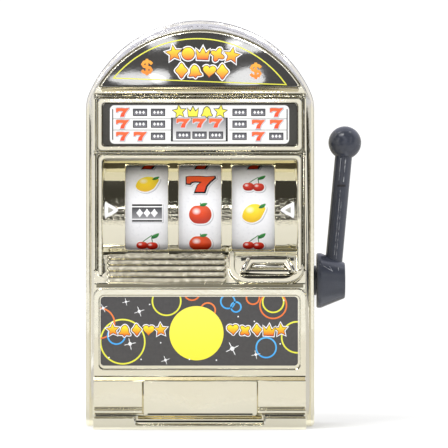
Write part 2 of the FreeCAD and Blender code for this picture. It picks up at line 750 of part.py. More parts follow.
# ---------------------------------------------------------------- rear case
def rear_case():
    body = new_body("rear_case")
    flange = new_sketch(body, "XZ_Plane", "parting_depth - flange_thickness")
    draw_arch(flange, "flange_half", "0", "rear_arch_centre", "flange_arch_radius")
    pad(body, flange, "flange_thickness")

    # blend the shoulders of the flange and its lower corners
    half, size = value("flange_half"), value("flange_arch_radius")
    shoulder = value("rear_arch_centre") + math.sqrt(size**2 - half**2)
    for height, radius in ((shoulder, "10"), (0, "foot_corner_radius")):
        tests = [along_y_at(side * half, height) for side in (-1, 1)]
        round_edges(body, radius, lambda edge: any(test(edge) for test in tests))

    # the deep shell behind the flange, its rear edge rounded
    shell = new_sketch(body, "XZ_Plane", "parting_depth - flange_thickness - 0.1")
    draw_arch(shell, "rear_half", "0", "rear_arch_centre", "rear_arch_radius")
    pad(body, shell, "parting_depth - flange_thickness - 0.1 + rear_depth", reversed_=True)
    depth = value("rear_depth")

    def on_back(edge):
        box = edge.BoundBox
        return box.YMin > depth - 0.01 and box.ZMax > 2

    round_edges(body, "rear_edge_radius", on_back)
    doc.recompute()

    hollow = new_sketch(body, "XZ_Plane", "parting_depth")
    draw_arch(
        hollow,
        "rear_half - rear_wall",
        "rear_wall",
        "rear_arch_centre",
        "rear_arch_radius - rear_wall",
    )
    pocket(body, hollow, "parting_depth + rear_depth - rear_wall")

    # lever bush seat in the right wall
    seat = new_sketch(body, "YZ_Plane", "rear_half - rear_wall - 0.4")
    draw_circle(seat, "0", "lever_height", "seat_radius")
    pad(body, seat, "0.6")
    doc.recompute()
    bore = new_sketch(body, "YZ_Plane", "rear_half - rear_wall - 1")
    draw_circle(bore, "0", "lever_height", "bush_radius + 0.02")
    pocket(body, bore, "rear_wall + 3", reversed_=True)

    # tubes that meet the front pillars, and short bosses that carry the chassis
    inside = "rear_depth - rear_wall"
    for across, up, _reach in CASE_SCREWS:
        for side in (-1, 1):
            tube = new_sketch(body, "XZ_Plane", f"-({inside}) - 0.2")
            draw_circle(tube, f"{side} * {across}", up, "tube_radius")
            pad(body, tube, f"{inside} + 0.2 + parting_depth - 0.05")
            doc.recompute()
            clearance = new_sketch(body, "XZ_Plane", "parting_depth")
            draw_circle(clearance, f"{side} * {across}", up, "clearance_radius")
            pocket(body, clearance, "parting_depth + rear_depth + 1")
            counterbore = new_sketch(body, "XZ_Plane", "-rear_depth - 0.5")
            draw_circle(counterbore, f"{side} * {across}", up, "counterbore_radius")
            pocket(body, counterbore, "counterbore_depth + 0.5", reversed_=True)
    for up in ("chassis_screw_high", "chassis_screw_low"):
        for side in (-1, 1):
            boss = new_sketch(body, "XZ_Plane", "-chassis_back")
            draw_circle(boss, f"{side} * chassis_screw_out", up, "boss_radius")
            pad(body, boss, f"{inside} + 0.2 - chassis_back", reversed_=True)
            doc.recompute()
            pilot = new_sketch(body, "XZ_Plane", "-chassis_back")
            draw_circle(pilot, f"{side} * chassis_screw_out", up, "pilot_radius")
            pocket(body, pilot, "boss_pilot_depth")
    return body


# ---------------------------------------------------------------- printed labels
def label(name, depth, outline):
    """A thin printed sheet lying on the floor of its recess."""
    body = new_body(name)
    drawing = new_sketch(body, "XZ_Plane", depth)
    outline(drawing)
    pad(body, drawing, "label_thickness")


def labels():
    label(
        "marquee_label",
        "ridge_depth - marquee_recess",
        lambda drawing: draw_arch_segment(
            drawing, "bar_top + marquee_gap", "face_arch_centre", "marquee_arch_radius - marquee_gap"
        ),
    )
    label(
        "paytable_label",
        "ridge_depth - table_recess",
        lambda drawing: draw_rounded(
            drawing,
            "-table_half + table_ridge + label_gap",
            "table_half - table_ridge - label_gap",
            "table_bottom + table_ridge + label_gap + 0.1",
            "table_top - table_ridge - label_gap - 0.1",
            "table_floor_corner - 0.1",
        ),
    )
    label(
        "belly_label",
        "belly_depth - belly_recess",
        lambda drawing: draw_rounded(
            drawing,
            "belly_floor_left + belly_label_gap",
            "belly_floor_right - belly_label_gap - 0.2",
            "belly_floor_bottom + belly_label_lift",
            "belly_floor_top - belly_label_gap",
            "belly_floor_corner - belly_label_gap",
        ),
    )


# ---------------------------------------------------------------- reels
def reel(side, place):
    drum = new_body(f"reel_drum_{side}", across=place, up="axle_height")
    bore = "axle_radius + running_gap"
    star_left = "drum_left - star_width"
    rim_inside = "drum_radius - drum_wall"
    outline = [
        (star_left, bore),
        (star_left, "star_radius"),
        ("drum_left", "star_radius"),
        ("drum_left", "drum_radius"),
        ("drum_right", "drum_radius"),
        ("drum_right", rim_inside),
        ("drum_left + drum_wall", rim_inside),
        ("drum_left + drum_wall", "drum_hub_radius"),
        ("drum_right", "drum_hub_radius"),
        ("drum_right", bore),
    ]
    turned(drum, outline)
    notch = new_sketch(drum, "YZ_Plane", star_left)
    rim = "star_radius + 0.3"
    draw_polygon(notch, [("star_radius - notch_depth", "0"), (rim, "-notch_half"), (rim, "notch_half")])
    cut = pocket(drum, notch, "star_width", reversed_=True)
    polar(drum, cut, int(value("symbols")), 360)
    opening = new_sketch(drum, "YZ_Plane", "drum_left - 2")
    draw_circle(opening, "spoke_hole_out", "0", "spoke_hole_radius")
    cut = pocket(drum, opening, "4", reversed_=True)
    polar(drum, cut, 5, 360)

    strip = new_body(f"reel_strip_{side}", across=place, up="axle_height")
    inner = "drum_radius + 0.02"
    outer = "drum_radius + strip_thickness"
    turned(strip, [("drum_left", inner), ("drum_left", outer), ("drum_right", outer), ("drum_right", inner)])


def reel_axle():
    body = new_body("reel_axle", up="axle_height")
    outline = [
        ("left_cheek - 1.2", "0"),
        ("left_cheek - 1.2", "axle_radius"),
        ("left_cheek - 0.7", "axle_radius"),
        ("left_cheek - 0.7", "clip_groove_radius"),
        ("left_cheek - 0.2", "clip_groove_radius"),
        ("left_cheek - 0.2", "axle_radius"),
        ("gear_left + gear_width + 1", "axle_radius"),
        ("gear_left + gear_width + 1", "0"),
    ]
    turned(body, outline)

    clip = new_body("axle_clip", up="axle_height")
    outline = [
        ("left_cheek - 0.67", "clip_groove_radius + 0.02"),
        ("left_cheek - 0.67", "clip_radius"),
        ("left_cheek - 0.23", "clip_radius"),
        ("left_cheek - 0.23", "clip_groove_radius + 0.02"),
    ]
    turned(clip, outline)
    mouth = new_sketch(clip, "YZ_Plane", "left_cheek - 1")
    draw_rectangle(mouth, "-clip_mouth_half", "clip_mouth_half", "-clip_radius - 0.7", "0")
    pocket(clip, mouth, "1", reversed_=True)

    # one friction washer in each gap beside the reels
    washers = new_body("clutch_washers", up="axle_height")
    drawing = new_sketch(washers, "XY_Plane")
    gaps = (
        ("left_cheek + cheek_thickness", "drum_left - star_width - reel_pitch"),
        ("drum_right - reel_pitch", "drum_left - star_width"),
        ("drum_right", "drum_left - star_width + reel_pitch"),
        ("drum_right + reel_pitch", "right_cheek"),
    )
    for left, right in gaps:
        draw_rectangle(drawing, f"{left} + 0.1", f"{right} - 0.1", "axle_radius", "washer_radius")
    feature = washers.newObject("PartDesign::Revolution", "clutch_washers_turned")
    feature.Profile = drawing
    feature.ReferenceAxis = (drawing, ["H_Axis"])
    feature.Angle = 360


# ---------------------------------------------------------------- gears
def involute(angle):
    return math.tan(angle) - angle


def draw_tooth_space(drawing, teeth, centre):
    """The gap between two involute teeth, centred on a direction given in degrees."""
    module = value("gear_module")
    pressure = math.radians(value("pressure_angle"))
    pitch = module * teeth / 2
    base = pitch * math.cos(pressure)
    tip = pitch + module
    root = pitch - 1.2 * module
    backlash = 0.04 / pitch
    half_tooth = math.pi / (2 * teeth) - backlash + involute(pressure)

    def flank(radius, side):
        reach = math.pi / teeth - half_tooth + involute(math.acos(min(1.0, base / radius)))
        angle = math.radians(centre) + side * reach
        return Vector(radius * math.cos(angle), radius * math.sin(angle))

    start = max(base, root)
    radii = [start + (tip + 0.1 - start) * step / 5 for step in range(6)]
    curves = []
    for side in (-1, 1):
        curve = Part.BSplineCurve()
        curve.interpolate([flank(radius, side) for radius in radii])
        drawing.addGeometry(curve)
        curves.append(curve)
    right, left = curves
    low_right, low_left = right.StartPoint, left.StartPoint
    if root < base:
        for side in (-1, 1):
            low = flank(start, side)
            low.multiply(root / start)
            drawing.addGeometry(Part.LineSegment(flank(start, side), low))
        low_right, low_left = low_right * (root / start), low_left * (root / start)
    drawing.addGeometry(Part.LineSegment(low_right, low_left))
    beyond_tip = 1.1
    high_right, high_left = right.EndPoint * beyond_tip, left.EndPoint * beyond_tip
    drawing.addGeometry(Part.LineSegment(right.EndPoint, high_right))
    drawing.addGeometry(Part.LineSegment(high_right, high_left))
    drawing.addGeometry(Part.LineSegment(high_left, left.EndPoint))


def gear(name, teeth, space, bore, across, along, up):
    """A spur gear whose face starts at across; space is the direction of one tooth space."""
    body = new_body(name, across, along, up)
    count = int(value(teeth))
    disc = new_sketch(body, "YZ_Plane")
    draw_circle(disc, "0", "0", f"gear_module * ({teeth} + 2) / 2")
    draw_circle(disc, "0", "0", bore)
    pad(body, disc, "gear_width")
    doc.recompute()
    gap = new_sketch(body, "YZ_Plane")
    draw_tooth_space(gap, count, space)
    cut = pocket(body, gap, "gear_width", reversed_=True)
    polar(body, cut, count, 360)
    return body


def direction(start, end):
    """The direction from one shaft to another in the plane Y-Z, in degrees from +Y towards +Z."""
    return math.degrees(math.atan2(end[1] - start[1], end[0] - start[0]))


# the idler sits on the right cheek, its pitch circle touching those of the sector and the pinion
sector_pitch_radius = value("gear_module * sector_teeth / 2")
pinion_pitch_radius = value("gear_module * pinion_teeth / 2")
lever_shaft = (0.0, value("lever_height"))
reel_shaft = (0.0, value("axle_height"))
centre_distance = reel_shaft[1] - lever_shaft[1]
far = sector_pitch_radius + pinion_pitch_radius
near = 2 * pinion_pitch_radius + 0.01
idler_rise = (far**2 - near**2 + centre_distance**2) / (2 * centre_distance)
idler_shaft = (math.sqrt(far**2 - idler_rise**2), lever_shaft[1] + idler_rise)


def gear_train():
    to_idler = direction(lever_shaft, idler_shaft)
    to_pinion = direction(idler_shaft, reel_shaft)
    idler_space = to_idler + 180
    pinion_tooth = to_pinion + 180 - (idler_space - to_pinion)
    pinion_space = pinion_tooth + 180 / value("pinion_teeth")
    idler_along, idler_up = str(round(idler_shaft[0], 4)), str(round(idler_shaft[1], 4))
    gear("axle_pinion", "pinion_teeth", pinion_space, "axle_radius", "gear_left", "0", "axle_height")
    bore = "idler_pin_radius + running_gap"
    gear("idler_gear", "pinion_teeth", idler_space, bore, "gear_left", idler_along, idler_up)

    post = new_body("idler_pin", up=idler_up, along=idler_along)
    outline = [
        ("right_cheek", "0"),
        ("right_cheek", "idler_pin_radius"),
        ("right_cheek + cheek_thickness", "idler_pin_radius"),
        ("right_cheek + cheek_thickness", "idler_collar_radius"),
        ("gear_left - 0.08", "idler_collar_radius"),
        ("gear_left - 0.08", "idler_pin_radius"),
        ("gear_left + gear_width + 0.08", "idler_pin_radius"),
        ("gear_left + gear_width + 0.08", "idler_collar_radius"),
        ("gear_left + gear_width + 0.6", "idler_collar_radius"),
        ("gear_left + gear_width + 0.6", "0"),
    ]
    turned(post, outline)
    sector(to_idler)


def sector(to_idler):
    """The toothed quadrant on the lever shaft: eight teeth, a hub and a post for the spring."""
    count = int(value("sector_teeth"))
    pitch = 360 / count
    first_space = to_idler - 6.5 * pitch
    last_space = to_idler + 1.5 * pitch
    body = new_body("sector_gear", "gear_left", "0", "lever_height")
    outline = new_sketch(body, "YZ_Plane")
    tip, hub = value("gear_module * (sector_teeth + 2) / 2"), value("sector_hub_radius")
    start, end = math.radians(first_space), math.radians(last_space)
    rim = Part.ArcOfCircle(Part.Circle(Vector(), Vector(0, 0, 1), tip), start, end)
    back = Part.ArcOfCircle(Part.Circle(Vector(), Vector(0, 0, 1), hub), end, start + 2 * math.pi)
    rim_arc, hub_arc = outline.addGeometry(rim), outline.addGeometry(back)
    outline.addGeometry(Part.LineSegment(rim.EndPoint, back.StartPoint))
    outline.addGeometry(Part.LineSegment(back.EndPoint, rim.StartPoint))
    pin(outline, rim_arc, 3, "0", "0")
    pin(outline, hub_arc, 3, "0", "0")
    draw_circle(outline, "0", "0", "shaft_radius - shaft_step")
    pad(body, outline, "gear_width")
    doc.recompute()
    gap = new_sketch(body, "YZ_Plane")
    draw_tooth_space(gap, count, first_space)
    cut = pocket(body, gap, "gear_width", reversed_=True)
    polar(body, cut, 9, 8 * pitch)
    post = new_sketch(body, "YZ_Plane", "gear_width")
    draw_circle(post, "5.9", "2.0", "sector_post_radius")
    pad(body, post, "sector_post_height")

    screw = new_body("sector_screw", "gear_left", "0", "lever_height")
    head = "sector_screw_head"
    turned(screw, [("-1.1", "0"), ("-1.1", f"{head} - 0.4"), ("-0.8", head), ("-0.02", head), ("-0.02", "0")])
    shank = new_sketch(screw, "YZ_Plane", "-0.1")
    draw_circle(shank, "0", "0", "screw_radius")
    pad(screw, shank, "4.5")
    doc.recompute()
    drive = new_sketch(screw, "YZ_Plane", "-1.1")
    draw_cross(drive, "0", "0")
    pocket(screw, drive, "0.6", reversed_=True)


def draw_cross(drawing, across, up):
    """A cross-shaped drive recess."""
    arm, half = 1.1, 0.25
    corners = []
    for turn in range(4):
        for a, b in ((arm, -half), (arm, half), (half, half)):
            for _quarter in range(turn):
                a, b = -b, a
            corners.append((f"{across} + {a}", f"{up} + {b}"))
    draw_polygon(drawing, corners)


# ---------------------------------------------------------------- chassis and its springs
def reel_chassis():
    body = new_body("reel_chassis")
    cheek = [
        ("chassis_back", "chassis_bottom"),
        ("chassis_back", "chassis_top"),
        ("5", "chassis_top"),
        ("-cheek_nose", "axle_height + cheek_nose_half"),
        ("-cheek_nose", "axle_height - cheek_nose_half"),
        ("4.6", "cheek_low"),
        ("4.6", "chassis_bottom"),
    ]
    for left in ("left_cheek", "right_cheek"):
        drawing = new_sketch(body, "YZ_Plane", left)
        draw_polygon(drawing, cheek)
        draw_circle(drawing, "0", "axle_height", "axle_radius + running_gap")
        pad(body, drawing, "cheek_thickness")
        doc.recompute()
    for low, high in (("plate_high_bottom", "chassis_top"), ("chassis_bottom", "plate_low_top")):
        plate = new_sketch(body, "XZ_Plane", "-chassis_back")
        draw_rectangle(plate, "left_cheek + 0.5", "right_cheek + 0.5", low, high)
        pad(body, plate, "plate_thickness")
    doc.recompute()
    post = new_sketch(body, "YZ_Plane", "right_cheek - 1")
    draw_circle(post, str(round(idler_shaft[0], 4)), str(round(idler_shaft[1], 4)), "idler_pin_radius")
    pocket(body, post, "cheek_thickness + 2", reversed_=True)
    holes = new_sketch(body, "XZ_Plane", "-chassis_back - 1")
    for up in ("chassis_screw_high", "chassis_screw_low"):
        for side in (-1, 1):
            draw_circle(holes, f"{side} * chassis_screw_out", up, "0.9")
    for _side, place in REELS:
        draw_circle(holes, f"{place} + drum_left - star_width / 2", "chassis_screw_low", "screw_radius")
    pocket(body, holes, "4", reversed_=True)


def strip_outline(route, thickness):
    """The outline of a bent strip whose middle follows a route of (along, up) points."""
    points = [Vector(a, b) for a, b in route]
    runs = [(after - before).normalize() for before, after in zip(points, points[1:])]
    sides = [Vector(-run.y, run.x) for run in runs]
    offsets = [sides[0]]
    for first, second in zip(sides, sides[1:]):
        mitre = first + second
        offsets.append(mitre * (2 / mitre.dot(mitre)))
    offsets.append(sides[-1])
    left = [point + offset * (thickness / 2) for point, offset in zip(points, offsets)]
    right = [point - offset * (thickness / 2) for point, offset in zip(points, offsets)]
    return left + right[::-1]


def detent_spring(side, place):
    """A leaf screwed to the chassis whose bent tip drops into the star wheel of its reel."""
    body = new_body(f"detent_spring_{side}", across=f"{place} + drum_left - star_width / 2")
    centre = value("axle_height")
    bottom = value("star_radius - notch_depth") + 0.22
    turn = math.radians(252)
    tip = (bottom * math.cos(turn), centre + bottom * math.sin(turn))
    route = [(8.5, 41.3), (-2.6, 45.0), tip, (-5.3, 45.9)]
    bent = strip_outline(route, value("leaf_thickness"))
    corners = [(str(round(p.x, 4)), str(round(p.y, 4))) for p in bent]
    leaf = new_sketch(body, "YZ_Plane")
    draw_polygon(leaf, corners)
    pad(body, leaf, "leaf_width", both_sides=True)
    doc.recompute()
    tab = new_sketch(body, "XZ_Plane", "plate_thickness - chassis_back")
    draw_rectangle(tab, "-leaf_tab_half", "leaf_tab_half", "41.2", "45.4")
    draw_circle(tab, "0", "chassis_screw_low", "0.85")
    pad(body, tab, "leaf_thickness")


def screw_group(name, places, head_depth, head_radius, head_height, length):
    """Equal screws along Y, their heads bearing at head_depth and their shanks running towards -Y."""
    body = new_body(name)
    heads = new_sketch(body, "XZ_Plane", head_depth)
    shanks = new_sketch(body, "XZ_Plane", head_depth)
    backwards = length < 0
    for across, up in places:
        draw_circle(heads, across, up, head_radius)
        draw_circle(shanks, across, up, "screw_radius")
    pad(body, heads, head_height, reversed_=not backwards)
    pad(body, shanks, str(abs(length)), reversed_=backwards)
    doc.recompute()
    top = f"{head_depth} + {head_height}" if backwards else f"{head_depth} - {head_height}"
    drives = new_sketch(body, "XZ_Plane", top)
    for across, up in places:
        draw_cross(drives, across, up)
    pocket(body, drives, "drive_depth", reversed_=not backwards)


def screws():
    case_places = [(f"{side} * {a}", up) for a, up, _reach in CASE_SCREWS for side in (-1, 1)]
    screw_group("case_screws", case_places, "counterbore_depth - 0.02 - rear_depth", "1.7", "1.2", 23.0)
    heights = ("chassis_screw_high", "chassis_screw_low")
    chassis_places = [(f"{side} * chassis_screw_out", up) for up in heights for side in (-1, 1)]
    screw_group("chassis_screws", chassis_places, "plate_thickness + 0.02 - chassis_back", "1.6", "1.1", -4.8)
    leaf_places = [(f"{place} + drum_left - star_width / 2", "chassis_screw_low") for _side, place in REELS]
    leaf_top = "plate_thickness + leaf_thickness + 0.02 - chassis_back"
    screw_group("detent_screws", leaf_places, leaf_top, "1.35", "0.9", -2.6)


# ---------------------------------------------------------------- lever
def lever_hub():
    body = new_body("lever_hub", up="lever_height")
    outline = [
        ("gear_left", "0"),
        ("gear_left", "shaft_radius - shaft_step"),
        ("gear_left + gear_width + 0.1", "shaft_radius - shaft_step"),
        ("gear_left + gear_width + 0.1", "shaft_radius"),
        ("hub_left", "shaft_radius"),
        ("hub_left", "hub_radius"),
        ("hub_left + hub_flat", "hub_radius"),
        ("hub_right", "hub_end_radius"),
        ("hub_right", "0"),
    ]
    turned(body, outline)

    def rim(edge):
        return isinstance(edge.Curve, Part.Circle) and edge.Curve.Radius > value("hub_end_radius") - 0.1

    round_edges(body, "hub_round", rim)
    doc.recompute()
    socket = new_sketch(body, "XY_Plane", "1.5")
    for name, text in (("Base.x", "arm_root"), ("Rotation.Axis.y", "1"), ("Rotation.Axis.z", "0")):
        socket.setExpression(f"AttachmentOffset.{name}", cells(text))
    socket.setExpression("AttachmentOffset.Rotation.Angle", cells("arm_lean"))
    draw_circle(socket, "1.5 * 0.093", "0", "arm_radius + 0.01")
    pocket(body, socket, "socket_depth", reversed_=True)
    tapping = new_sketch(body, "YZ_Plane", "gear_left")
    draw_circle(tapping, "0", "0", "screw_radius + 0.02")
    pocket(body, tapping, "tapping_depth", reversed_=True)


def lean(thing):
    """Turn a piece of the arm outwards about Y."""
    thing.setExpression("Placement.Rotation.Axis.y", "1")
    thing.setExpression("Placement.Rotation.Axis.z", "0")
    thing.setExpression("Placement.Rotation.Angle", cells("arm_lean"))


def lever_arm():
    body = new_body("lever_arm", "arm_root", "0", "lever_height")
    lean(body)
    spigot = "arm_radius - spigot_step"
    outline = [
        ("0", "1.65"),
        ("arm_radius", "1.65"),
        ("arm_radius", "arm_length"),
        (spigot, "arm_length"),
        (spigot, "knob_height"),
        ("0", "knob_height"),
    ]
    turned(body, outline, role="XZ_Plane", axis="V_Axis")


def lever_knob():
    ball = doc.addObject("Part::Sphere", "knob_ball")
    bind(ball, Radius="knob_radius")
    ball.setExpression("Placement.Base.z", cells("knob_height"))
    socket = doc.addObject("Part::Cylinder", "knob_socket")
    bind(socket, Radius="arm_radius - spigot_step + 0.02", Height="knob_height - arm_length + 0.1")
    socket.setExpression("Placement.Base.z", cells("arm_length"))
    seat = doc.addObject("Part::Cylinder", "knob_seat")
    bind(seat, Radius="knob_radius", Height="knob_radius")
    seat.setExpression("Placement.Base.z", cells("arm_length + 0.02 - knob_radius"))
    bored = doc.addObject("Part::Cut", "knob_bored")
    bored.Base, bored.Tool = ball, socket
    knob = doc.addObject("Part::Cut", "lever_knob")
    knob.Base, knob.Tool = bored, seat
    knob.Label = "lever_knob"
    knob.setExpression("Placement.Base.x", cells("arm_root"))
    knob.setExpression("Placement.Base.z", cells("lever_height"))
    lean(knob)
    pieces.append(knob)


def shaft_bush():
    body = new_body("shaft_bush", up="lever_height")
    bore = "shaft_radius + running_gap"
    outline = [
        ("rear_half - rear_wall - 0.5", bore),
        ("rear_half - rear_wall - 0.5", "bush_radius"),
        ("rear_half + 0.02", "bush_radius"),
        ("rear_half + 0.02", "bush_flange"),
        ("hub_left - 0.1", "bush_flange"),
        ("hub_left - 0.1", bore),
    ]
    turned(body, outline)


def return_spring():
    """A torsion coil round the lever shaft with one leg on the sector's post and one on the case floor."""
    body = new_body("lever_return_spring", up="lever_height")
    section = new_sketch(body, "XY_Plane")
    draw_circle(section, "coil_start", "coil_radius", "coil_wire")
    coil = body.newObject("PartDesign::AdditiveHelix", "return_spring_coil")
    coil.Profile = section
    coil.ReferenceAxis = (section, ["H_Axis"])
    coil.Mode = "pitch-height-angle"
    bind(coil, Pitch="coil_pitch", Height="coil_pitch * coil_turns")
    doc.recompute()
    end = "coil_start + coil_pitch * coil_turns"
    for across, reach, backwards in (("coil_start", "coil_short_leg", False), (end, "coil_long_leg", True)):
        leg = new_sketch(body, "XZ_Plane")
        draw_circle(leg, across, "coil_radius", "coil_wire")
        pad(body, leg, reach, reversed_=backwards)
    doc.recompute()


# ---------------------------------------------------------------- build, test and write
front_case()
rear_case()
labels()
for side, place in REELS:
    reel(side, place)
reel_axle()
gear_train()
reel_chassis()
for side, place in REELS:
    detent_spring(side, place)
screws()
lever_hub()
lever_arm()
lever_knob()
shaft_bush()
return_spring()
doc.recompute()

faults = [item.Name for item in doc.Objects if "Invalid" in item.State or "Error" in item.State]
faults += [piece.Label for piece in pieces if piece.Shape.isNull() or not piece.Shape.isValid()]
if faults:
    raise RuntimeError(f"failed objects: {faults}")
os.makedirs("parts", exist_ok=True)
for piece in pieces:
    piece.Shape.exportStep(f"parts/{piece.Label}.step")
    box = piece.Shape.BoundBox
    print(piece.Label, len(piece.Shape.Solids), round(piece.Shape.Volume, 2), box)
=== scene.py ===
import json
import math

import bmesh
import bpy
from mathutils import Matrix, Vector
from mathutils.geometry import tessellate_polygon


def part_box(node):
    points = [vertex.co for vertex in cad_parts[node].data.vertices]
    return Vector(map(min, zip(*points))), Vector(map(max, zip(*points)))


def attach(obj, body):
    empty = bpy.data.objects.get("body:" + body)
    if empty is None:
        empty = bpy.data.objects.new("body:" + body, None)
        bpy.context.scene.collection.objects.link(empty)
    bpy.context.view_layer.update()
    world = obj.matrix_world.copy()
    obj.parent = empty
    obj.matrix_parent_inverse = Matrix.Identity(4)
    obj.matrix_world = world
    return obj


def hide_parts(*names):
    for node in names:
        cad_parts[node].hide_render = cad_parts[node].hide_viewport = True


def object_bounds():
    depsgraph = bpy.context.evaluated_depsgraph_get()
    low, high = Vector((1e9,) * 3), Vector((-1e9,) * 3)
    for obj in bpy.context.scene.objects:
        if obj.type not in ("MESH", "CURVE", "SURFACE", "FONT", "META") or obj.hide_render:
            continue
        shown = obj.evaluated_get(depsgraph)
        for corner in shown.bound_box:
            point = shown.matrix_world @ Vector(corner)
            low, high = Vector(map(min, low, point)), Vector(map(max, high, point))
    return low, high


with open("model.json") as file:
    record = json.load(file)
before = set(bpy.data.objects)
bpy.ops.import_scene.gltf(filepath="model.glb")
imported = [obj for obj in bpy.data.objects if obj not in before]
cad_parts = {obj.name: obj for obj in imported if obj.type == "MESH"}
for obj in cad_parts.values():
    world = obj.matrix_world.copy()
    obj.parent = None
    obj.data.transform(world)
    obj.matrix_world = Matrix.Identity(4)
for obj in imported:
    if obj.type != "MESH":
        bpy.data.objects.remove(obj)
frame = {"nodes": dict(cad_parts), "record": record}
cad_low, cad_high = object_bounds()
MM = 0.001
scene = bpy.context.scene
scene.view_settings.view_transform = "Standard"

# Measures of the case in millimetres. A face is given by how far it lies in front of the reel axle,
# and the rounded reel panel by its radius and by how far behind the axle and how high its own axis is.
ARCH_CENTRE = 75.75
PANEL_RADIUS, PANEL_BACK, PANEL_HEIGHT = 18.0, 2.3, 58.6
FRAME_FACE, RIDGE_FACE = 16.3, 17.0
STEP_FACE, SHELF_FACE, DOOR_FACE, TRAY_FACE = 18.6, 21.0, 22.4, 18.0
SIDES = (("left", -1), ("right", 1))


# ---------------------------------------------------------------- shader maths
class Socket:
    """A shader socket with operators that add the nodes they stand for."""

    def __init__(self, tree, socket):
        self.tree = tree
        self.socket = socket

    def node(self, kind, settings=None, inputs=None, output=0):
        """Add any other node: its settings first, then the values or links of its sockets."""
        made = self.tree.nodes.new(kind)
        for name, setting in (settings or {}).items():
            if name == "stops":
                fill_ramp(made.color_ramp, setting)
            else:
                setattr(made, name, setting)
        for name, given in (inputs or {}).items():
            put(self.tree, made.inputs[name], given)
        return Socket(self.tree, made.outputs[output])

    def maths(self, operation, *values):
        made = self.tree.nodes.new("ShaderNodeMath")
        made.operation = operation
        for place, given in zip(made.inputs, values):
            put(self.tree, place, given)
        return Socket(self.tree, made.outputs[0])

    def __add__(self, other):
        return self.maths("ADD", self, other)

    def __sub__(self, other):
        return self.maths("SUBTRACT", self, other)

    def __mul__(self, other):
        return self.maths("MULTIPLY", self, other)

    def __truediv__(self, other):
        return self.maths("DIVIDE", self, other)

    def __radd__(self, other):
        return self.maths("ADD", other, self)

    def __rsub__(self, other):
        return self.maths("SUBTRACT", other, self)

    def __rmul__(self, other):
        return self.maths("MULTIPLY", other, self)

    def __rtruediv__(self, other):
        return self.maths("DIVIDE", other, self)

    def __pow__(self, other):
        return self.maths("POWER", self, other)

    def clamp(self, low=0.0, high=1.0):
        return self.maths("MINIMUM", self.maths("MAXIMUM", self, low), high)

    def absolute(self):
        return self.maths("ABSOLUTE", self)

    def step(self, edge, softness):
        """0 below edge, 1 above it, with a ramp of the given width."""
        return ((self - edge) / softness + 0.5).clamp()

    def within(self, low, high, softness):
        """1 between low and high, with ramps of the given width."""
        return self.step(low, softness) * (1.0 - self.step(high, softness))

    def mix(self, first, second):
        """Blend two colours by this factor."""
        made = self.tree.nodes.new("ShaderNodeMix")
        made.data_type = "RGBA"
        put(self.tree, made.inputs[0], self)
        put(self.tree, made.inputs[6], first)
        put(self.tree, made.inputs[7], second)
        return Socket(self.tree, made.outputs[2])

    def part(self, axis):
        """One coordinate of a vector."""
        made = self.tree.nodes.new("ShaderNodeSeparateXYZ")
        put(self.tree, made.inputs[0], self)
        return Socket(self.tree, made.outputs["XYZ".index(axis)])


def fill_ramp(ramp, stops):
    while len(ramp.elements) < len(stops):
        ramp.elements.new(0.5)
    for element, (place, color) in zip(ramp.elements, stops):
        element.position = place
        element.color = rgba(color)


def rgba(color):
    return tuple(color) if len(color) == 4 else (*color, 1.0)


def put(tree, place, given):
    if isinstance(given, Socket):
        tree.links.new(given.socket, place)
    elif hasattr(place.default_value, "__len__") and not isinstance(given, (int, float)):
        place.default_value = rgba(given) if len(place.default_value) == 4 else given
    else:
        place.default_value = given


def material(name, paint=None, **constants):
    """A Principled material. paint(socket, wire) adds what varies over the surface."""
    made = bpy.data.materials.new(name)
    made.use_nodes = True
    tree = made.node_tree
    shader = tree.nodes["Principled BSDF"]
    for key, given in constants.items():
        put(tree, shader.inputs[key.replace("_", " ")], given)
    if paint:
        coordinates = tree.nodes.new("ShaderNodeTexCoord")
        place = Socket(tree, coordinates.outputs["Object"])

        def wire(key, given):
            put(tree, shader.inputs[key.replace("_", " ")], given)

        paint(place, wire)
    return made


def noise(place, scale, detail=2.0, roughness=0.5):
    """Smooth noise from 0 to 1, its features about 1/scale metres across."""
    inputs = {"Vector": place, "Scale": scale, "Detail": detail, "Roughness": roughness}
    return place.node("ShaderNodeTexNoise", inputs=inputs)


def bump(place, height, distance, strength=1.0):
    inputs = {"Height": height, "Distance": distance, "Strength": strength}
    return place.node("ShaderNodeBump", inputs=inputs)


# ---------------------------------------------------------------- finishes
def deck_mask(place):
    """1 over the ribbed part of the sloping deck."""
    across = place.part("X").within(-0.0258, 0.0078, 0.001)
    in_front = 1.0 - place.part("Y").step(-0.0118, 0.0006)
    return across * in_front * place.part("Z").within(0.0395, 0.0478, 0.0006)


def panel_mask(place):
    """1 along the middle of the reel panel, where the plating is pitted."""
    beside = 1.0 - place.part("X").absolute().step(0.0272, 0.0004)
    off_middle = (place.part("Z") - 0.0592).absolute()
    return beside * place.part("Y").step(-0.0161, 0.0002) * (1.0 - off_middle.step(0.0035, 0.003))


def crown_reflection_tint(place):
    """1 at the top of the arch outside its ridge, fading towards the arch's feet, where the plating gets
    a painted reflection tint.
    """
    rise = place.part("Z") - ARCH_CENTRE * MM
    reach = (place.part("X") ** 2.0 + rise ** 2.0) ** 0.5
    return reach.step(0.0332, 0.0004) * rise.step(0.008, 0.036)


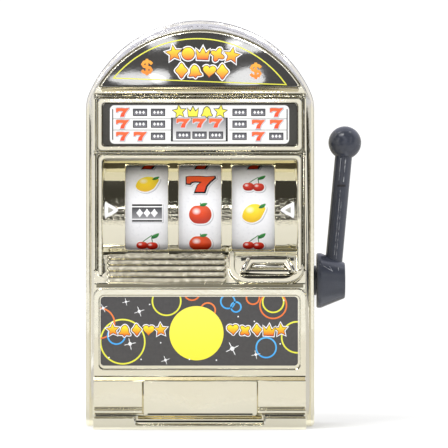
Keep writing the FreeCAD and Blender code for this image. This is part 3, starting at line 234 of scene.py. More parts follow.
def plated(place, wire):
    """Pale gold vacuum plating on moulded plastic, with faint orange peel, haze and pits, mottled
    painted shade over the ribbed deck and a painted reflection tint at the top of the arch.
    """
    peel = noise(place, 900.0, 3.0)
    wave = noise(place, 70.0, 1.0)
    haze = noise(place, 60.0, 4.0, 0.6)
    pits = noise(place, 2000.0, 2.0).step(0.6, 0.16)
    deck_shade_mottle = noise(place, 700.0, 3.0).step(0.42, 0.35)
    gold = haze.mix((0.93, 0.89, 0.72), (0.97, 0.94, 0.80))
    # painted shade: the ribbed deck's plating is darkened in mottled patches
    deck_shaded_gold = (deck_mask(place) * deck_shade_mottle * 0.8).mix(gold, (0.56, 0.52, 0.40))
    # painted reflection tint: the crown's plating is made neutral silver so it mirrors the cool cards
    # lavender
    wire("Base_Color", (crown_reflection_tint(place) * 0.75).mix(deck_shaded_gold, (0.94, 0.93, 0.94)))
    wire("Roughness", 0.045 + haze * 0.05)
    height = peel * 0.09 + wave * 1.6 + panel_mask(place) * pits * 0.35
    wire("Normal", bump(place, height, 0.0001))


def bright_plated(place, wire):
    """The same plating, whiter and a little rougher, on small raised parts."""
    haze = noise(place, 500.0, 2.0)
    wire("Base_Color", haze.mix((0.95, 0.93, 0.84), (0.98, 0.97, 0.91)))
    wire("Roughness", 0.12 + haze * 0.1)
    wire("Normal", bump(place, haze, 0.00001))


def black_moulding(place, wire):
    speck = noise(place, 2600.0, 2.0)
    flow = noise(place, 300.0, 3.0)
    tone = speck * 0.5 + flow * 0.5
    wire("Base_Color", tone.mix((0.030, 0.034, 0.048), (0.060, 0.066, 0.088)))
    wire("Roughness", 0.13 + flow * 0.12)
    wire("Normal", bump(place, speck * 0.6 + flow * 0.8, 0.00003))


def drawn_steel(place, wire):
    streak = noise(place, 1500.0, 4.0)
    wire("Base_Color", streak.mix((0.50, 0.50, 0.52), (0.68, 0.68, 0.70)))
    wire("Roughness", 0.22 + streak * 0.2)
    wire("Normal", bump(place, streak, 0.00001))


def moulded(dark, light, scale=700.0):
    """A matte moulded plastic between two tones."""

    def paint(place, wire):
        grain = noise(place, scale, 4.0)
        wire("Base_Color", grain.mix(dark, light))
        wire("Roughness", 0.42 + grain * 0.2)
        wire("Normal", bump(place, grain, 0.00002))

    return paint


def printed(dark, light, shine=0.12):
    """Glossy printed film with a faint mottle and a slightly uneven surface."""

    def paint(place, wire):
        mottle = noise(place, 1400.0, 3.0)
        sag = noise(place, 55.0, 2.0)
        wire("Base_Color", mottle.mix(dark, light))
        wire("Roughness", shine * (0.7 + mottle * 0.6))
        wire("Normal", bump(place, sag * 1.5 + mottle * 0.02, 0.00004))

    return paint


white_plastic = moulded((0.74, 0.74, 0.72), (0.82, 0.82, 0.80))
black_plastic = moulded((0.02, 0.02, 0.022), (0.035, 0.035, 0.038))
nylon = moulded((0.72, 0.68, 0.56), (0.82, 0.79, 0.68))
marquee_black = printed((0.022, 0.021, 0.020), (0.036, 0.034, 0.032), 0.035)
table_black = printed((0.035, 0.033, 0.028), (0.055, 0.052, 0.045))
belly_black = printed((0.052, 0.050, 0.050), (0.076, 0.073, 0.073))
reel_white = printed((0.80, 0.80, 0.83), (0.88, 0.88, 0.90), 0.3)
FINISHES = {
    "plated_case": material("pale_gold_plating", plated, Metallic=1.0),
    "lever_plastic": material("black_moulding", black_moulding, Specular_IOR_Level=0.6),
    "axle_steel": material("drawn_steel", drawn_steel, Metallic=1.0),
    "screw_steel": material("zinc_steel", drawn_steel, Metallic=1.0),
    "spring_steel": material("spring_steel", drawn_steel, Metallic=1.0),
    "drum_plastic": material("white_moulding", white_plastic),
    "chassis_plastic": material("chassis_moulding", black_plastic),
    "gear_plastic": material("natural_nylon", nylon),
    "marquee_print": material("marquee_film", marquee_black),
    "table_print": material("table_film", table_black),
    "belly_print": material("belly_film", belly_black),
    "reel_print": material("reel_paper", reel_white),
}
for row in frame["record"]["subparts"]:
    node = frame["nodes"][row["node"]]
    slot = "lever_plastic" if row["node"] == "shaft_bush" else row["material_slot"]
    node.data.materials.clear()
    node.data.materials.append(FINISHES[slot])


# ---------------------------------------------------------------- shells
def shell_copy(node, name, edge):
    """A copy of a CAD shell with its flat faces rejoined and its edges rounded."""
    piece = bpy.data.objects.new(name, frame["nodes"][node].data.copy())
    scene.collection.objects.link(piece)
    work = bmesh.new()
    work.from_mesh(piece.data)
    bmesh.ops.remove_doubles(work, verts=work.verts, dist=0.000002)
    bmesh.ops.dissolve_degenerate(work, edges=work.edges, dist=0.000002)
    bmesh.ops.dissolve_limit(
        work,
        angle_limit=math.radians(0.6),
        verts=work.verts,
        edges=work.edges,
        use_dissolve_boundaries=False,
    )
    for face in work.faces:
        face.smooth = True
    for join in work.edges:
        join.smooth = len(join.link_faces) != 2 or join.calc_face_angle() < math.radians(25)
    work.to_mesh(piece.data)
    work.free()
    rounding = piece.modifiers.new("rounding", "BEVEL")
    rounding.width = edge
    rounding.segments = 2
    rounding.limit_method = "ANGLE"
    rounding.angle_limit = math.radians(28)
    rounding.harden_normals = True
    rounding.use_clamp_overlap = False
    rounding.miter_outer = "MITER_ARC"
    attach(piece, "root")
    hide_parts(node)


shell_copy("front_case", "front_case_plated", 0.22 * MM)
shell_copy("rear_case", "rear_case_plated", 0.25 * MM)


# ---------------------------------------------------------------- flat shapes, in millimetres
def turned_points(points, turn=0.0, size=1.0, across=0.0, up=0.0):
    c, s = math.cos(math.radians(turn)) * size, math.sin(math.radians(turn)) * size
    return [(x * c - y * s + across, x * s + y * c + up) for x, y in points]


def polar_loop(reach, steps=48):
    """A closed outline whose distance from the middle is reach(angle)."""
    angles = [2 * math.pi * step / steps for step in range(steps)]
    return [(reach(a) * math.cos(a), reach(a) * math.sin(a)) for a in angles]


def disc(radius, steps=48):
    return [polar_loop(lambda angle: radius, steps)]


def ring(radius, width, steps=72):
    return [disc(radius + width / 2, steps)[0], disc(radius - width / 2, steps)[0][::-1]]


def box(width, height, corner=0.0, steps=5):
    right, top = width / 2, height / 2
    if corner == 0:
        return [[(-right, -top), (right, -top), (right, top), (-right, top)]]
    points = []
    for quarter, (sx, sy) in enumerate(((1, 1), (-1, 1), (-1, -1), (1, -1))):
        for step in range(steps + 1):
            angle = math.radians(90 * quarter + 90 * step / steps)
            x = sx * (right - corner) + corner * math.cos(angle)
            points.append((x, sy * (top - corner) + corner * math.sin(angle)))
    return [points]


def star(count, outer, inner):
    points = []
    for step in range(2 * count):
        reach = inner if step % 2 else outer
        angle = math.pi / 2 + math.pi * step / count
        points.append((reach * math.cos(angle), reach * math.sin(angle)))
    return [points]


def smooth(points, steps=6):
    """A closed curve through the points."""
    out = []
    count = len(points)
    for k in range(count):
        before, start, end, after = (Vector(points[(k + n) % count]) for n in (-1, 0, 1, 2))
        for step in range(steps):
            t = step / steps
            square = 2 * before - 5 * start + 4 * end - after
            cube = 3 * start - before - 3 * end + after
            point = start + 0.5 * ((end - before) * t + square * t**2 + cube * t**3)
            out.append((point.x, point.y))
    return [out]


def area(loop):
    return sum(a[0] * b[1] - b[0] * a[1] for a, b in zip(loop, loop[1:] + loop[:1])) / 2


def grown(loop, distance):
    """A counter-clockwise outline moved outwards, its sharp corners cut short."""
    out = []
    count = len(loop)
    for k in range(count):
        before, here, after = (Vector(loop[(k + n) % count]) for n in (-1, 0, 1))
        first, second = (here - before).normalized(), (after - here).normalized()
        outward = Vector((first.y, -first.x)) + Vector((second.y, -second.x))
        outward = outward * (2 / max(outward.dot(outward), 0.9))
        point = here + outward * distance
        out.append((point.x, point.y))
    return out


def stroke(path, width):
    """The outline of a line of even width along a path, its ends square."""
    points = [Vector(p) for p in path]
    left, right = [], []
    for k, point in enumerate(points):
        run = (points[min(k + 1, len(points) - 1)] - points[max(k - 1, 0)]).normalized()
        side = Vector((-run.y, run.x)) * (width / 2)
        left.append(tuple(point + side))
        right.append(tuple(point - side))
    return [right + left[::-1]]


def arc_path(radius, start, end, steps=24):
    angles = [math.radians(start + (end - start) * step / steps) for step in range(steps + 1)]
    return [(radius * math.cos(a), radius * math.sin(a)) for a in angles]


heart_angles = [2 * math.pi * step / 40 for step in range(40)]
HEART = [
    [
        (
            -(math.sin(a) ** 3) * 0.5,
            (13 * math.cos(a) - 5 * math.cos(2 * a) - 2 * math.cos(3 * a) - math.cos(4 * a)) / 32 + 0.07,
        )
        for a in heart_angles
    ]
]
STAR = star(5, 0.56, 0.25)
DIAMOND = smooth(
    [(0, -0.5), (0.2, -0.24), (0.4, 0), (0.2, 0.24), (0, 0.5), (-0.2, 0.24), (-0.4, 0), (-0.2, -0.24)], 3
)
CLOVER = [polar_loop(lambda a: 0.39 + 0.13 * math.cos(4 * a - math.pi))]
CROWN = [
    [(-0.42, -0.42), (0.42, -0.42), (0.54, 0.36), (0.24, 0.04), (0.0, 0.5), (-0.24, 0.04), (-0.54, 0.36)]
]
BELL = smooth(
    [(-0.5, -0.34), (-0.14, -0.36), (0.0, -0.5), (0.14, -0.36), (0.5, -0.34), (0.36, -0.1),
     (0.28, 0.24), (0.08, 0.46), (-0.08, 0.46), (-0.28, 0.24), (-0.36, -0.1)], 4
)
SEVEN = [
    [(-0.26, -0.5), (0.2, -0.5), (0.3, -0.14), (0.5, 0.14), (0.74, 0.4), (0.72, 0.5), (0.3, 0.46),
     (-0.1, 0.5), (-0.58, 0.5), (-0.72, 0.46), (-0.72, 0.02), (-0.56, 0.0), (-0.5, 0.1),
     (-0.3, 0.16), (0.08, 0.12), (-0.14, -0.12)]
]
ESS = [(0.33, 0.2), (0.2, 0.33), (0.0, 0.37), (-0.2, 0.32), (-0.29, 0.18), (-0.2, 0.05), (0.0, 0.0)]
DOLLAR = stroke(ESS + [(-x, -y) for x, y in ESS[-2::-1]], 0.2)
LEMON = smooth(
    [(-0.66, -0.02), (-0.52, -0.3), (-0.2, -0.48), (0.2, -0.44), (0.5, -0.2), (0.7, 0.04),
     (0.56, 0.16), (0.4, 0.36), (0.1, 0.48), (-0.24, 0.44), (-0.5, 0.26)]
)
LEAF = smooth([(-0.5, -0.1), (-0.2, -0.24), (0.2, -0.2), (0.5, 0.12), (0.2, 0.2), (-0.2, 0.16)], 4)
FRUIT = smooth(
    [(0.0, -0.48), (0.34, -0.42), (0.55, -0.16), (0.54, 0.16), (0.34, 0.4), (0.06, 0.44),
     (-0.06, 0.44), (-0.34, 0.4), (-0.54, 0.16), (-0.55, -0.16), (-0.34, -0.42)]
)
SPARKLE = [polar_loop(lambda a: 0.5 * (0.05 + 0.95 * abs(math.cos(2 * a)) ** 26), 96)]


# ---------------------------------------------------------------- inks
def tone(red, green, blue):
    """A linear colour from 0-255 display values."""
    values = [c / 255 for c in (red, green, blue)]
    return tuple(c / 12.92 if c <= 0.04045 else ((c + 0.055) / 1.055) ** 2.4 for c in values)


def ink(low, high, glow=0.0, shade=0.0, shine=0.2, bend=1.0):
    """Printed ink from low at a shape's foot to high at its top.

    glow is the strength of a glint upper left, shade that of a darker edge round it.
    """

    def paint(place, wire):
        uv = place.node("ShaderNodeUVMap", {"uv_map": "print"})
        across, up = uv.part("X"), uv.part("Y")
        grain = noise(place, 3000.0, 2.0)
        rise = (up + (grain - 0.5) * 0.1).clamp() ** bend
        color = rise.mix(tone(*low), tone(*high))
        if shade:
            away = ((across - 0.42) ** 2.0 + (up - 0.58) ** 2.0) ** 0.5
            color = (away.step(0.45, 0.5) * shade).mix(color, tone(*[c * 0.55 for c in low]))
        if glow:
            near = ((across - 0.33) ** 2.0 + (up - 0.68) ** 2.0) ** 0.5
            color = ((1.0 - near.step(0.13, 0.16)) * glow).mix(color, (1.0, 1.0, 1.0))
        wire("Base_Color", color)
        wire("Roughness", shine + grain * 0.1)
        wire("Normal", bump(place, grain, 0.000004))

    return paint


INKS = {
    "white": ink((236, 236, 238), (250, 250, 250)),
    "panel_white": ink((238, 238, 236), (250, 250, 250)),
    "shadow": ink((196, 196, 202), (206, 206, 212)),
    "flame": ink((220, 40, 22), (255, 238, 40), bend=0.8),
    "ember": ink((232, 60, 28), (240, 92, 36)),
    "ember_small": ink((236, 70, 34), (244, 110, 56)),
    "rust": ink((92, 34, 12), (128, 70, 20)),
    "soot": ink((34, 32, 34), (52, 50, 54)),
    "iron": ink((150, 150, 154), (58, 58, 62)),
    "iron_small": ink((126, 126, 132), (86, 86, 92)),
    "box_shade": ink((238, 238, 238), (120, 118, 122)),
    "yellow": ink((244, 232, 58), (248, 238, 88)),
    "yellow_line": ink((226, 224, 66), (236, 236, 84)),
    "orange": ink((238, 128, 30), (250, 172, 52)),
    "orange_line": ink((232, 116, 56), (240, 132, 66)),
    "blue_line": ink((66, 164, 232), (92, 184, 244)),
    "lemon": ink((240, 190, 20), (255, 232, 60), glow=0.5, shade=0.35),
    "cherry": ink((178, 26, 16), (240, 66, 44), glow=0.75, shade=0.55),
    "tangerine": ink((196, 44, 22), (242, 92, 44), glow=0.7, shade=0.5),
    "leaf": ink((24, 98, 50), (64, 150, 70)),
}
INKS = {name: material(f"ink_{name}", paint) for name, paint in INKS.items()}

LAYER = 0.012


class Print:
    """Flat shapes of one ink, gathered here and then laid on a surface as one thin closed piece."""

    def __init__(self):
        self.work = bmesh.new()
        self.uv = self.work.loops.layers.uv.new("print")

    def add(self, loops, across=0.0, up=0.0, size=1.0, turn=0.0, grow=0.0):
        placed = [turned_points(loop, turn, size, across, up) for loop in loops]
        if area(placed[0]) < 0:
            placed = [loop[::-1] for loop in placed]
        if grow:
            placed = [grown(loop, grow) for loop in placed]
        points = [point for loop in placed for point in loop]
        low = [min(p[k] for p in points) for k in (0, 1)]
        high = [max(p[k] for p in points) for k in (0, 1)]
        corners = [self.work.verts.new((x, y, 0)) for x, y in points]
        flat = [[Vector((x, y, 0)) for x, y in loop] for loop in placed]
        for triangle in tessellate_polygon(flat):
            a, b, c = (points[k] for k in triangle)
            extent = area([a, b, c])
            if abs(extent) < 1e-9:
                continue
            order = triangle if extent > 0 else triangle[::-1]
            face = self.work.faces.new([corners[k] for k in order])
            for loop, k in zip(face.loops, order):
                at = points[k]
                loop[self.uv].uv = [(at[n] - low[n]) / (high[n] - low[n]) for n in (0, 1)]
        return self

    def cut(self, place, normal, clear=True):
        """Cut along a plane, and clear away what lies on its normal's side."""
        parts = self.work.verts[:] + self.work.edges[:] + self.work.faces[:]
        bmesh.ops.bisect_plane(
            self.work, geom=parts, plane_co=place, plane_no=normal, clear_outer=clear
        )

    def trim(self, left, right, low, high):
        """Cut away what reaches beyond a rectangle."""
        self.cut((left, 0, 0), (-1, 0, 0))
        self.cut((right, 0, 0), (1, 0, 0))
        self.cut((0, low, 0), (0, -1, 0))
        self.cut((0, high, 0), (0, 1, 0))
        return self

    def finish(self, name, color, body):
        """Make the piece, in one of the inks or in a material of its own."""
        loose = [vert for vert in self.work.verts if not vert.link_faces]
        bmesh.ops.delete(self.work, geom=loose, context="VERTS")
        data = bpy.data.meshes.new(name)
        self.work.to_mesh(data)
        self.work.free()
        piece = bpy.data.objects.new(name, data)
        scene.collection.objects.link(piece)
        data.materials.append(INKS[color] if isinstance(color, str) else color)
        thick = piece.modifiers.new("ink_thickness", "SOLIDIFY")
        thick.thickness = LAYER * MM
        thick.offset = 1.0
        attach(piece, body)
        return piece

    def lay(self, name, color, depth, level, body="root"):
        """Lay the shapes on a flat face at this depth in front of the axle, level layers up."""
        for vert in self.work.verts:
            vert.co = (vert.co.x * MM, -(depth + level * LAYER) * MM, vert.co.y * MM)
        return self.finish(name, color, body)

    def wrap(self, name, color, level, body, across):
        """Wrap the shapes round a reel: their height runs round the rim from its front."""
        reach = max(abs(vert.co.y) for vert in self.work.verts)
        slice_height = 0.6
        for step in range(-int(reach / slice_height), int(reach / slice_height) + 1):
            self.cut((0, step * slice_height, 0), (0, 1, 0), clear=False)
        radius = STRIP_RADIUS + level * LAYER
        for vert in self.work.verts:
            angle = vert.co.y / STRIP_RADIUS
            height = AXLE_HEIGHT + radius * math.sin(angle)
            vert.co = ((vert.co.x + across) * MM, -radius * math.cos(angle) * MM, height * MM)
        return self.finish(name, color, body)


DECK_TOP = (-12.2, 48.0)
DECK_FOOT = (-18.6, 39.4)
deck_length = math.dist(DECK_TOP, DECK_FOOT)
UPHILL = [(top - foot) / deck_length for top, foot in zip(DECK_TOP, DECK_FOOT)]


def on_deck(across, along, lift):
    """A point of the deck, along up the slope from its top edge and lifted off its surface."""
    y = DECK_TOP[0] + along * UPHILL[0] - lift * UPHILL[1]
    z = DECK_TOP[1] + along * UPHILL[1] + lift * UPHILL[0]
    return (across * MM, y * MM, z * MM)


def lay_on_deck(sheet, name, color, lift):
    for vert in sheet.work.verts:
        vert.co = on_deck(vert.co.x, vert.co.y, lift)
    sheet.finish(name, color, "root")


def slab(name, loops, back, front, color, edge, across=0.0, up=0.0):
    """A flat plate with rounded edges, its face at front and its back at back."""
    piece = Print().add(loops, across, up).lay(name, color, front, 0)
    piece.modifiers["ink_thickness"].thickness = (front - back) * MM
    piece.modifiers["ink_thickness"].offset = -1.0
    rounding = piece.modifiers.new("rounding", "BEVEL")
    rounding.width = edge
    rounding.segments = 2
    rounding.limit_method = "ANGLE"
    rounding.use_clamp_overlap = False
    rounding.harden_normals = True


def rod(name, points, radius, finish, body="root"):
    """A round bar through the points, in metres, drawn in a little at its ends."""
    path = bpy.data.curves.new(name, "CURVE")
    path.dimensions = "3D"
    path.bevel_depth = radius * MM
    path.bevel_resolution = 4
    path.use_fill_caps = True
    spline = path.splines.new("POLY")
    start, end = Vector(points[0]), Vector(points[-1])
    first, last = Vector(points[1]) - start, Vector(points[-2]) - end
    reach = radius * MM * 0.45
    full = [start, start + first.normalized() * reach]
    full += [Vector(p) for p in points[1:-1]]
    full += [end + last.normalized() * reach, end]
    spline.points.add(len(full) - 1)
    for k, (point, place) in enumerate(zip(spline.points, full)):
        point.co = (*place, 1.0)
        point.radius = 0.55 if k in (0, len(full) - 1) else 1.0
    piece = bpy.data.objects.new(name, path)
    scene.collection.objects.link(piece)
    path.materials.append(finish)
    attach(piece, body)


def outlined(prefix, shapes, depth, first, rim, halo, dark="rust", fill="flame"):
    """Shapes with a dark rim inside a white halo, as (loops, across, up, size, turn)."""
    parts = ("halo", "white", halo), ("rim", dark, rim), ("fill", fill, 0.0)
    for level, (part, color, grow) in enumerate(parts):
        sheet = Print()
        for loops, across, up, size, turn in shapes:
            sheet.add(loops, across, up, size, turn, grow)
        sheet.lay(f"{prefix}_{part}", color, depth, first + level)


# ---------------------------------------------------------------- printed films
def depth_of(node):
    return -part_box(node)[0].y / MM


MARQUEE, TABLE, BELLY = map(depth_of, ("marquee_label", "paytable_label", "belly_label"))


def marquee_print():
    radius, base, half = 29.7, -17.8, 23.8
    reach = math.degrees(math.atan2(-base, half))
    outer = arc_path(radius, reach, 180 - reach, 48)
    inner = grown(outer, -0.32)[::-1]
    loops = [[(x, y + base) for x, y in outer], [(x, y + base) for x, y in inner]]
    Print().add(loops, 0.0, 94.3, 1.0, -2.2).lay("marquee_outline", "yellow_line", MARQUEE, 0)
    signs, bars = Print(), Print()
    for across, up in ((-14.4, 98.3), (15.2, 97.3)):
        signs.add(DOLLAR, across, up, 4.2)
        bars.add(box(0.75, 4.5, 0.1), across, up)
    bars.lay("marquee_sign_bars", "orange", MARQUEE, 1)
    signs.lay("marquee_signs", "orange", MARQUEE, 2)
    top = [(STAR, -7.1, 102.05, 3.9, 8), (disc(0.47), -3.2, 101.95, 3.5, 0)]
    top += [(CROWN, 0.8, 101.85, 3.4, -2), (CLOVER, 4.8, 101.65, 3.7, 20), (STAR, 8.7, 101.45, 3.9, -10)]
    low = [(DIAMOND, -5.0, 97.35, 4.0, 0), (BELL, -1.35, 97.15, 3.4, 6)]
    low += [(HEART, 2.6, 97.05, 3.5, -4), (DIAMOND, 6.1, 97.05, 4.0, 0)]
    outlined("marquee_title", top + low, MARQUEE, 3, rim=0.2, halo=0.5)


def paytable_print():
    Print().add(box(48.8, 10.5, 1.2), -0.1, 82.7).lay("table_panel", "panel_white", TABLE, 0)
    lines = Print()
    for up in (84.25, 81.2):
        for across in (-15.8, 15.8):
            lines.add(box(15.8, 0.14), across, up)
    for side in (-1, 1):
        lines.add(box(0.3, 8.4, 0.1), side * 23.75, 82.7)
    lines.lay("table_rules", "soot", TABLE, 1)
    Print().add(box(15.5, 6.5, 0.1), -0.15, 81.35).lay("table_centre_edge", "soot", TABLE, 1)
    Print().add(box(14.4, 6.2, 0.1), -0.15, 81.4).lay("table_centre_field", "box_shade", TABLE, 2)
    columns = {-1: (-21.1, -16.3, -11.4), 1: (10.8, 15.9, 20.8)}
    rows = ((86.0, "7BB", "BB7"), (82.8, "7BB", "B77"), (79.5, "77B", "B7B"))
    sevens = [(SEVEN, across, 83.1, 2.5, 0) for across in (-4.6, -0.2, 4.3)]
    plates = [(across, 79.8) for across in (-4.5, -0.1, 4.4)]
    for up, left, right in rows:
        for side, pattern in ((-1, left), (1, right)):
            for across, sign in zip(columns[side], pattern):
                if sign == "7":
                    sevens.append((SEVEN, across, up, 2.4, 0))
                else:
                    plates.append((across, up))
    edges, faces, studs, halo = Print(), Print(), Print(), Print()
    for loops, across, up, size, turn in sevens:
        halo.add(loops, across + 0.1, up - 0.08, size, turn, 0.22)
        faces.add(loops, across, up, size, turn)
    halo.lay("table_seven_shadows", "shadow", TABLE, 3)
    faces.lay("table_sevens", "ember_small", TABLE, 4)
    plate_face = Print()
    for across, up in plates:
        edges.add(box(3.9, 2.0, 0.05), across, up)
        plate_face.add(box(3.5, 1.55, 0.05), across, up)
        for step in (-1, 0, 1):
            studs.add(DIAMOND, across + step * 0.95, up, 0.95)
    edges.lay("table_plate_edges", "soot", TABLE, 3)
    plate_face.lay("table_plates", "iron_small", TABLE, 4)
    studs.lay("table_plate_studs", "white", TABLE, 5)
    title = [(STAR, -5.6, 86.2, 3.2, 6), (CROWN, -1.9, 86.1, 2.8, 0), (BELL, 1.9, 86.1, 2.9, 0)]
    title += [(STAR, 5.6, 86.2, 3.2, -6)]
    outlined("table_title", title, TABLE, 3, rim=0.2, halo=0.01, fill="yellow", dark="soot")


def belly_print():
    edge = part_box("belly_label")
    bounds = [v / MM for v in (edge[0].x, edge[1].x, edge[0].z, edge[1].z)]
    rings = {
        "yellow_line": ((-9.0, 34.7, 3.85), (-20.9, 23.7, 6.0), (19.9, 34.5, 2.85), (26.4, 24.9, 4.2)),
        "orange_line": ((-27.2, 28.7, 4.1), (-2.1, 37.1, 2.15), (2.2, 32.2, 2.0), (14.4, 35.6, 1.75),
                        (19.9, 33.6, 3.6)),
        "blue_line": ((-22.6, 25.4, 2.35), (7.6, 34.6, 1.9), (9.8, 33.1, 1.35), (18.0, 22.1, 2.7)),
    }
    for level, (color, places) in enumerate(rings.items()):
        sheet = Print()
        for across, up, radius in places:
            sheet.add(ring(radius, 0.42), across, up)
        sheet.trim(*bounds).lay(f"belly_rings_{color[:-5]}", color, BELLY, level)
    Print().add(disc(7.35, 96), -0.9, 26.0).lay("belly_disc", "yellow", BELLY, 3)
    sparks = Print()
    big = [(-20.0, 34.5, 2.2), (-16.4, 31.9, 3.0), (-26.2, 32.8, 2.6), (-18.9, 23.1, 3.4)]
    big += [(-9.3, 18.7, 2.6), (8.8, 21.8, 4.0), (15.2, 20.2, 2.6)]
    small = [(-13.6, 33.8), (-10.6, 23.4), (-24.6, 19.4), (-15.9, 18.9), (-2.8, 18.9), (4.5, 18.7)]
    small += [(10.4, 30.5), (14.8, 29.2), (21.8, 23.1), (22.8, 34.9)]
    for k, (across, up, size) in enumerate(big):
        sparks.add(SPARKLE, across, up, size, 12 + 7 * (k % 3))
        sparks.add(star(4, size * 0.16, size * 0.15), across, up)
    sparks.lay("belly_sparkles", "white", BELLY, 4)
    dots = Print()
    for across, up in small:
        dots.add(disc(0.2, 16), across, up)
    for across, up, size in big:
        dots.add(disc(size * 0.1, 16), across, up)
    dots.trim(*bounds).lay("belly_dots", "white", BELLY, 5)
    rows = (
        ("left", -17.1, (STAR, BELL, DIAMOND, HEART, STAR)),
        ("right", 15.5, (HEART, CLOVER, DIAMOND, CROWN, STAR)),
    )
    for side, middle, row in rows:
        shapes = []
        for k, loops in enumerate(row):
            sway = (-1) ** k
            shapes.append((loops, middle + (k - 2) * 3.25, 26.8 + 0.12 * sway, 3.0, 4 * sway))
        outlined(f"belly_{side}_row", shapes, BELLY, 6, rim=0.18, halo=0.42)


marquee_print()
paytable_print()
belly_print()


# ---------------------------------------------------------------- reel symbols
strip_low, strip_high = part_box("reel_strip_centre")
STRIP_RADIUS = -strip_low.y / MM
AXLE_HEIGHT = (strip_low.z + strip_high.z) / 2 / MM
PITCH = 2 * math.pi * STRIP_RADIUS / 10


# Each symbol adds (loops, across, up, size, turn, grow) to the sheets of its inks.
def lemon(sheets, up):
    sheets["paper"].append((LEMON, 0.0, up, 5.0, 20, 0.32))
    sheets["shade"].append((LEMON, 0.22, up - 0.2, 5.0, 20, 0.4))
    sheets["lemon"].append((LEMON, 0.0, up, 5.0, 20, 0.0))
    sheets["leaf"].append((LEAF, 2.35, up + 1.9, 2.2, 18, 0.0))


def cherries(sheets, up):
    for across, drop in ((-1.4, 1.0), (1.35, 1.15)):
        sheets["paper"].append((FRUIT, across, up - drop, 2.75, 0, 0.3))
        sheets["shade"].append((FRUIT, across + 0.22, up - drop - 0.2, 2.75, 0, 0.38))
        sheets["cherry"].append((FRUIT, across, up - drop, 2.75, 0, 0.0))
        stem = [(across + 0.1, up - drop + 1.1), (across * 0.6 + 0.5, up + 1.0), (1.3, up + 2.3)]
        sheets["stem"].append((stroke(stem, 0.24), 0.0, 0.0, 1.0, 0, 0.0))
    sheets["leaf"].append((LEAF, 2.2, up + 2.1, 2.6, 22, 0.0))


def tangerine(sheets, up):
    sheets["paper"].append((FRUIT, 0.0, up - 0.35, 5.4, 0, 0.32))
    sheets["shade"].append((FRUIT, 0.22, up - 0.55, 5.4, 0, 0.4))
    sheets["tangerine"].append((FRUIT, 0.0, up - 0.35, 5.4, 0, 0.0))
    sheets["leaf"].append((LEAF, 0.9, up + 2.3, 2.1, 4, 0.0))
    sheets["stem"].append((box(0.3, 1.2, 0.1), 0.15, up + 2.2, 1.0, 14, 0.0))


def seven(sheets, up):
    sheets["shade"].append((SEVEN, 0.25, up - 0.25, 5.2, 0, 0.75))
    sheets["paper"].append((SEVEN, 0.0, up, 5.2, 0, 0.7))
    sheets["soot"].append((SEVEN, 0.1, up - 0.1, 5.2, 0, 0.42))
    sheets["ember"].append((SEVEN, 0.0, up, 5.2, 0, 0.0))


def plate(sheets, up):
    sheets["shade"].append((box(8.4, 4.9, 0.1), 0.2, up - 0.2, 1.0, 0, 0.15))
    sheets["paper"].append((box(8.4, 4.9, 0.1), 0.0, up, 1.0, 0, 0.1))
    for side in (-1, 1):
        sheets["soot"].append((box(8.2, 0.5), 0.0, up + side * 2.15, 1.0, 0, 0.0))
    sheets["iron"].append((box(8.2, 3.1), 0.0, up, 1.0, 0, 0.0))
    for step in (-1, 0, 1):
        sheets["stud"].append((DIAMOND, step * 2.0, up, 2.3, 0, 0.0))


ORDER = {
    "left": (plate, lemon, seven, tangerine, cherries, plate, lemon, seven, tangerine, cherries),
    "centre": (tangerine, seven, seven, plate, cherries, lemon, plate, cherries, lemon, tangerine),
    "right": (lemon, cherries, seven, plate, tangerine, lemon, plate, tangerine, seven, cherries),
}
LAYERS = {
    "shade": (0, "shadow"),
    "paper": (1, "white"),
    "stem": (2, "leaf"),
    "soot": (2, "soot"),
    "iron": (2, "iron"),
    "lemon": (3, "lemon"),
    "cherry": (3, "cherry"),
    "tangerine": (3, "tangerine"),
    "ember": (3, "ember"),
    "stud": (3, "white"),
    "leaf": (4, "leaf"),
}
for side, order in ORDER.items():
    sheets = {part: [] for part in LAYERS}
    for k, symbol in enumerate(order):
        turn = k if k <= 5 else k - 10
        symbol(sheets, turn * PITCH + (0.5 if k == 2 else 0.0))
    low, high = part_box(f"reel_strip_{side}")
    middle = (low.x + high.x) / 2 / MM - 0.1
    for part, (level, color) in LAYERS.items():
        sheet = Print()
        for loops, across, up, size, turn, grow in sheets[part]:
            sheet.add(loops, across, up, size, turn, grow)
        sheet.wrap(f"reel_{side}_{part}", color, level, f"reel_{side}", middle)

# ---------------------------------------------------------------- markers, deck lines and coin head
# painted shade: a dark ink laid as thin sheets in grooves, hollows and under edges of the plated case
INKS["shade_ink"] = material("dark_shade_ink", ink((22, 20, 14), (40, 37, 28), shine=0.3))
INKS["olive"] = material("olive_shade", ink((112, 107, 88), (136, 130, 108), shine=0.4))
INKS["olive_dark"] = material("olive_dark_shade", ink((84, 77, 54), (104, 95, 68), shine=0.4))
INKS["marker_grey"] = material("marker_grey", ink((150, 148, 138), (176, 174, 164), shine=0.3))
BRIGHT = material("bright_plating", bright_plated, Metallic=1.0)
ARROW = smooth(
    [(-1.2, -1.35), (-0.85, -1.45), (1.35, -0.25), (1.35, 0.25), (-0.85, 1.45), (-1.2, 1.35)], 4
)
MARKER_BACK, MARKER_FACE, MARKER_HEIGHT = 15.45, 16.0, 59.4
for name, across, turn in (("left", -24.35, 0), ("right", 24.1, 180)):
    arrow = turned_points(ARROW[0], turn)
    rim = [grown(arrow, 0.42)]
    slab(f"marker_{name}", rim, MARKER_BACK, MARKER_FACE, "white", 0.14 * MM, across, MARKER_HEIGHT)
    centre = Print().add([arrow], across, MARKER_HEIGHT, 0.52)
    centre.lay(f"marker_{name}_centre", "marker_grey", MARKER_FACE, 0)

# Lifts off the deck: its own surface, the throat's floor, its ribs and the bezel of the coin head.
ON_DECK, ON_FLOOR, ON_RIBS, ON_BEZEL = 0.01, 0.23, 0.61, 1.51
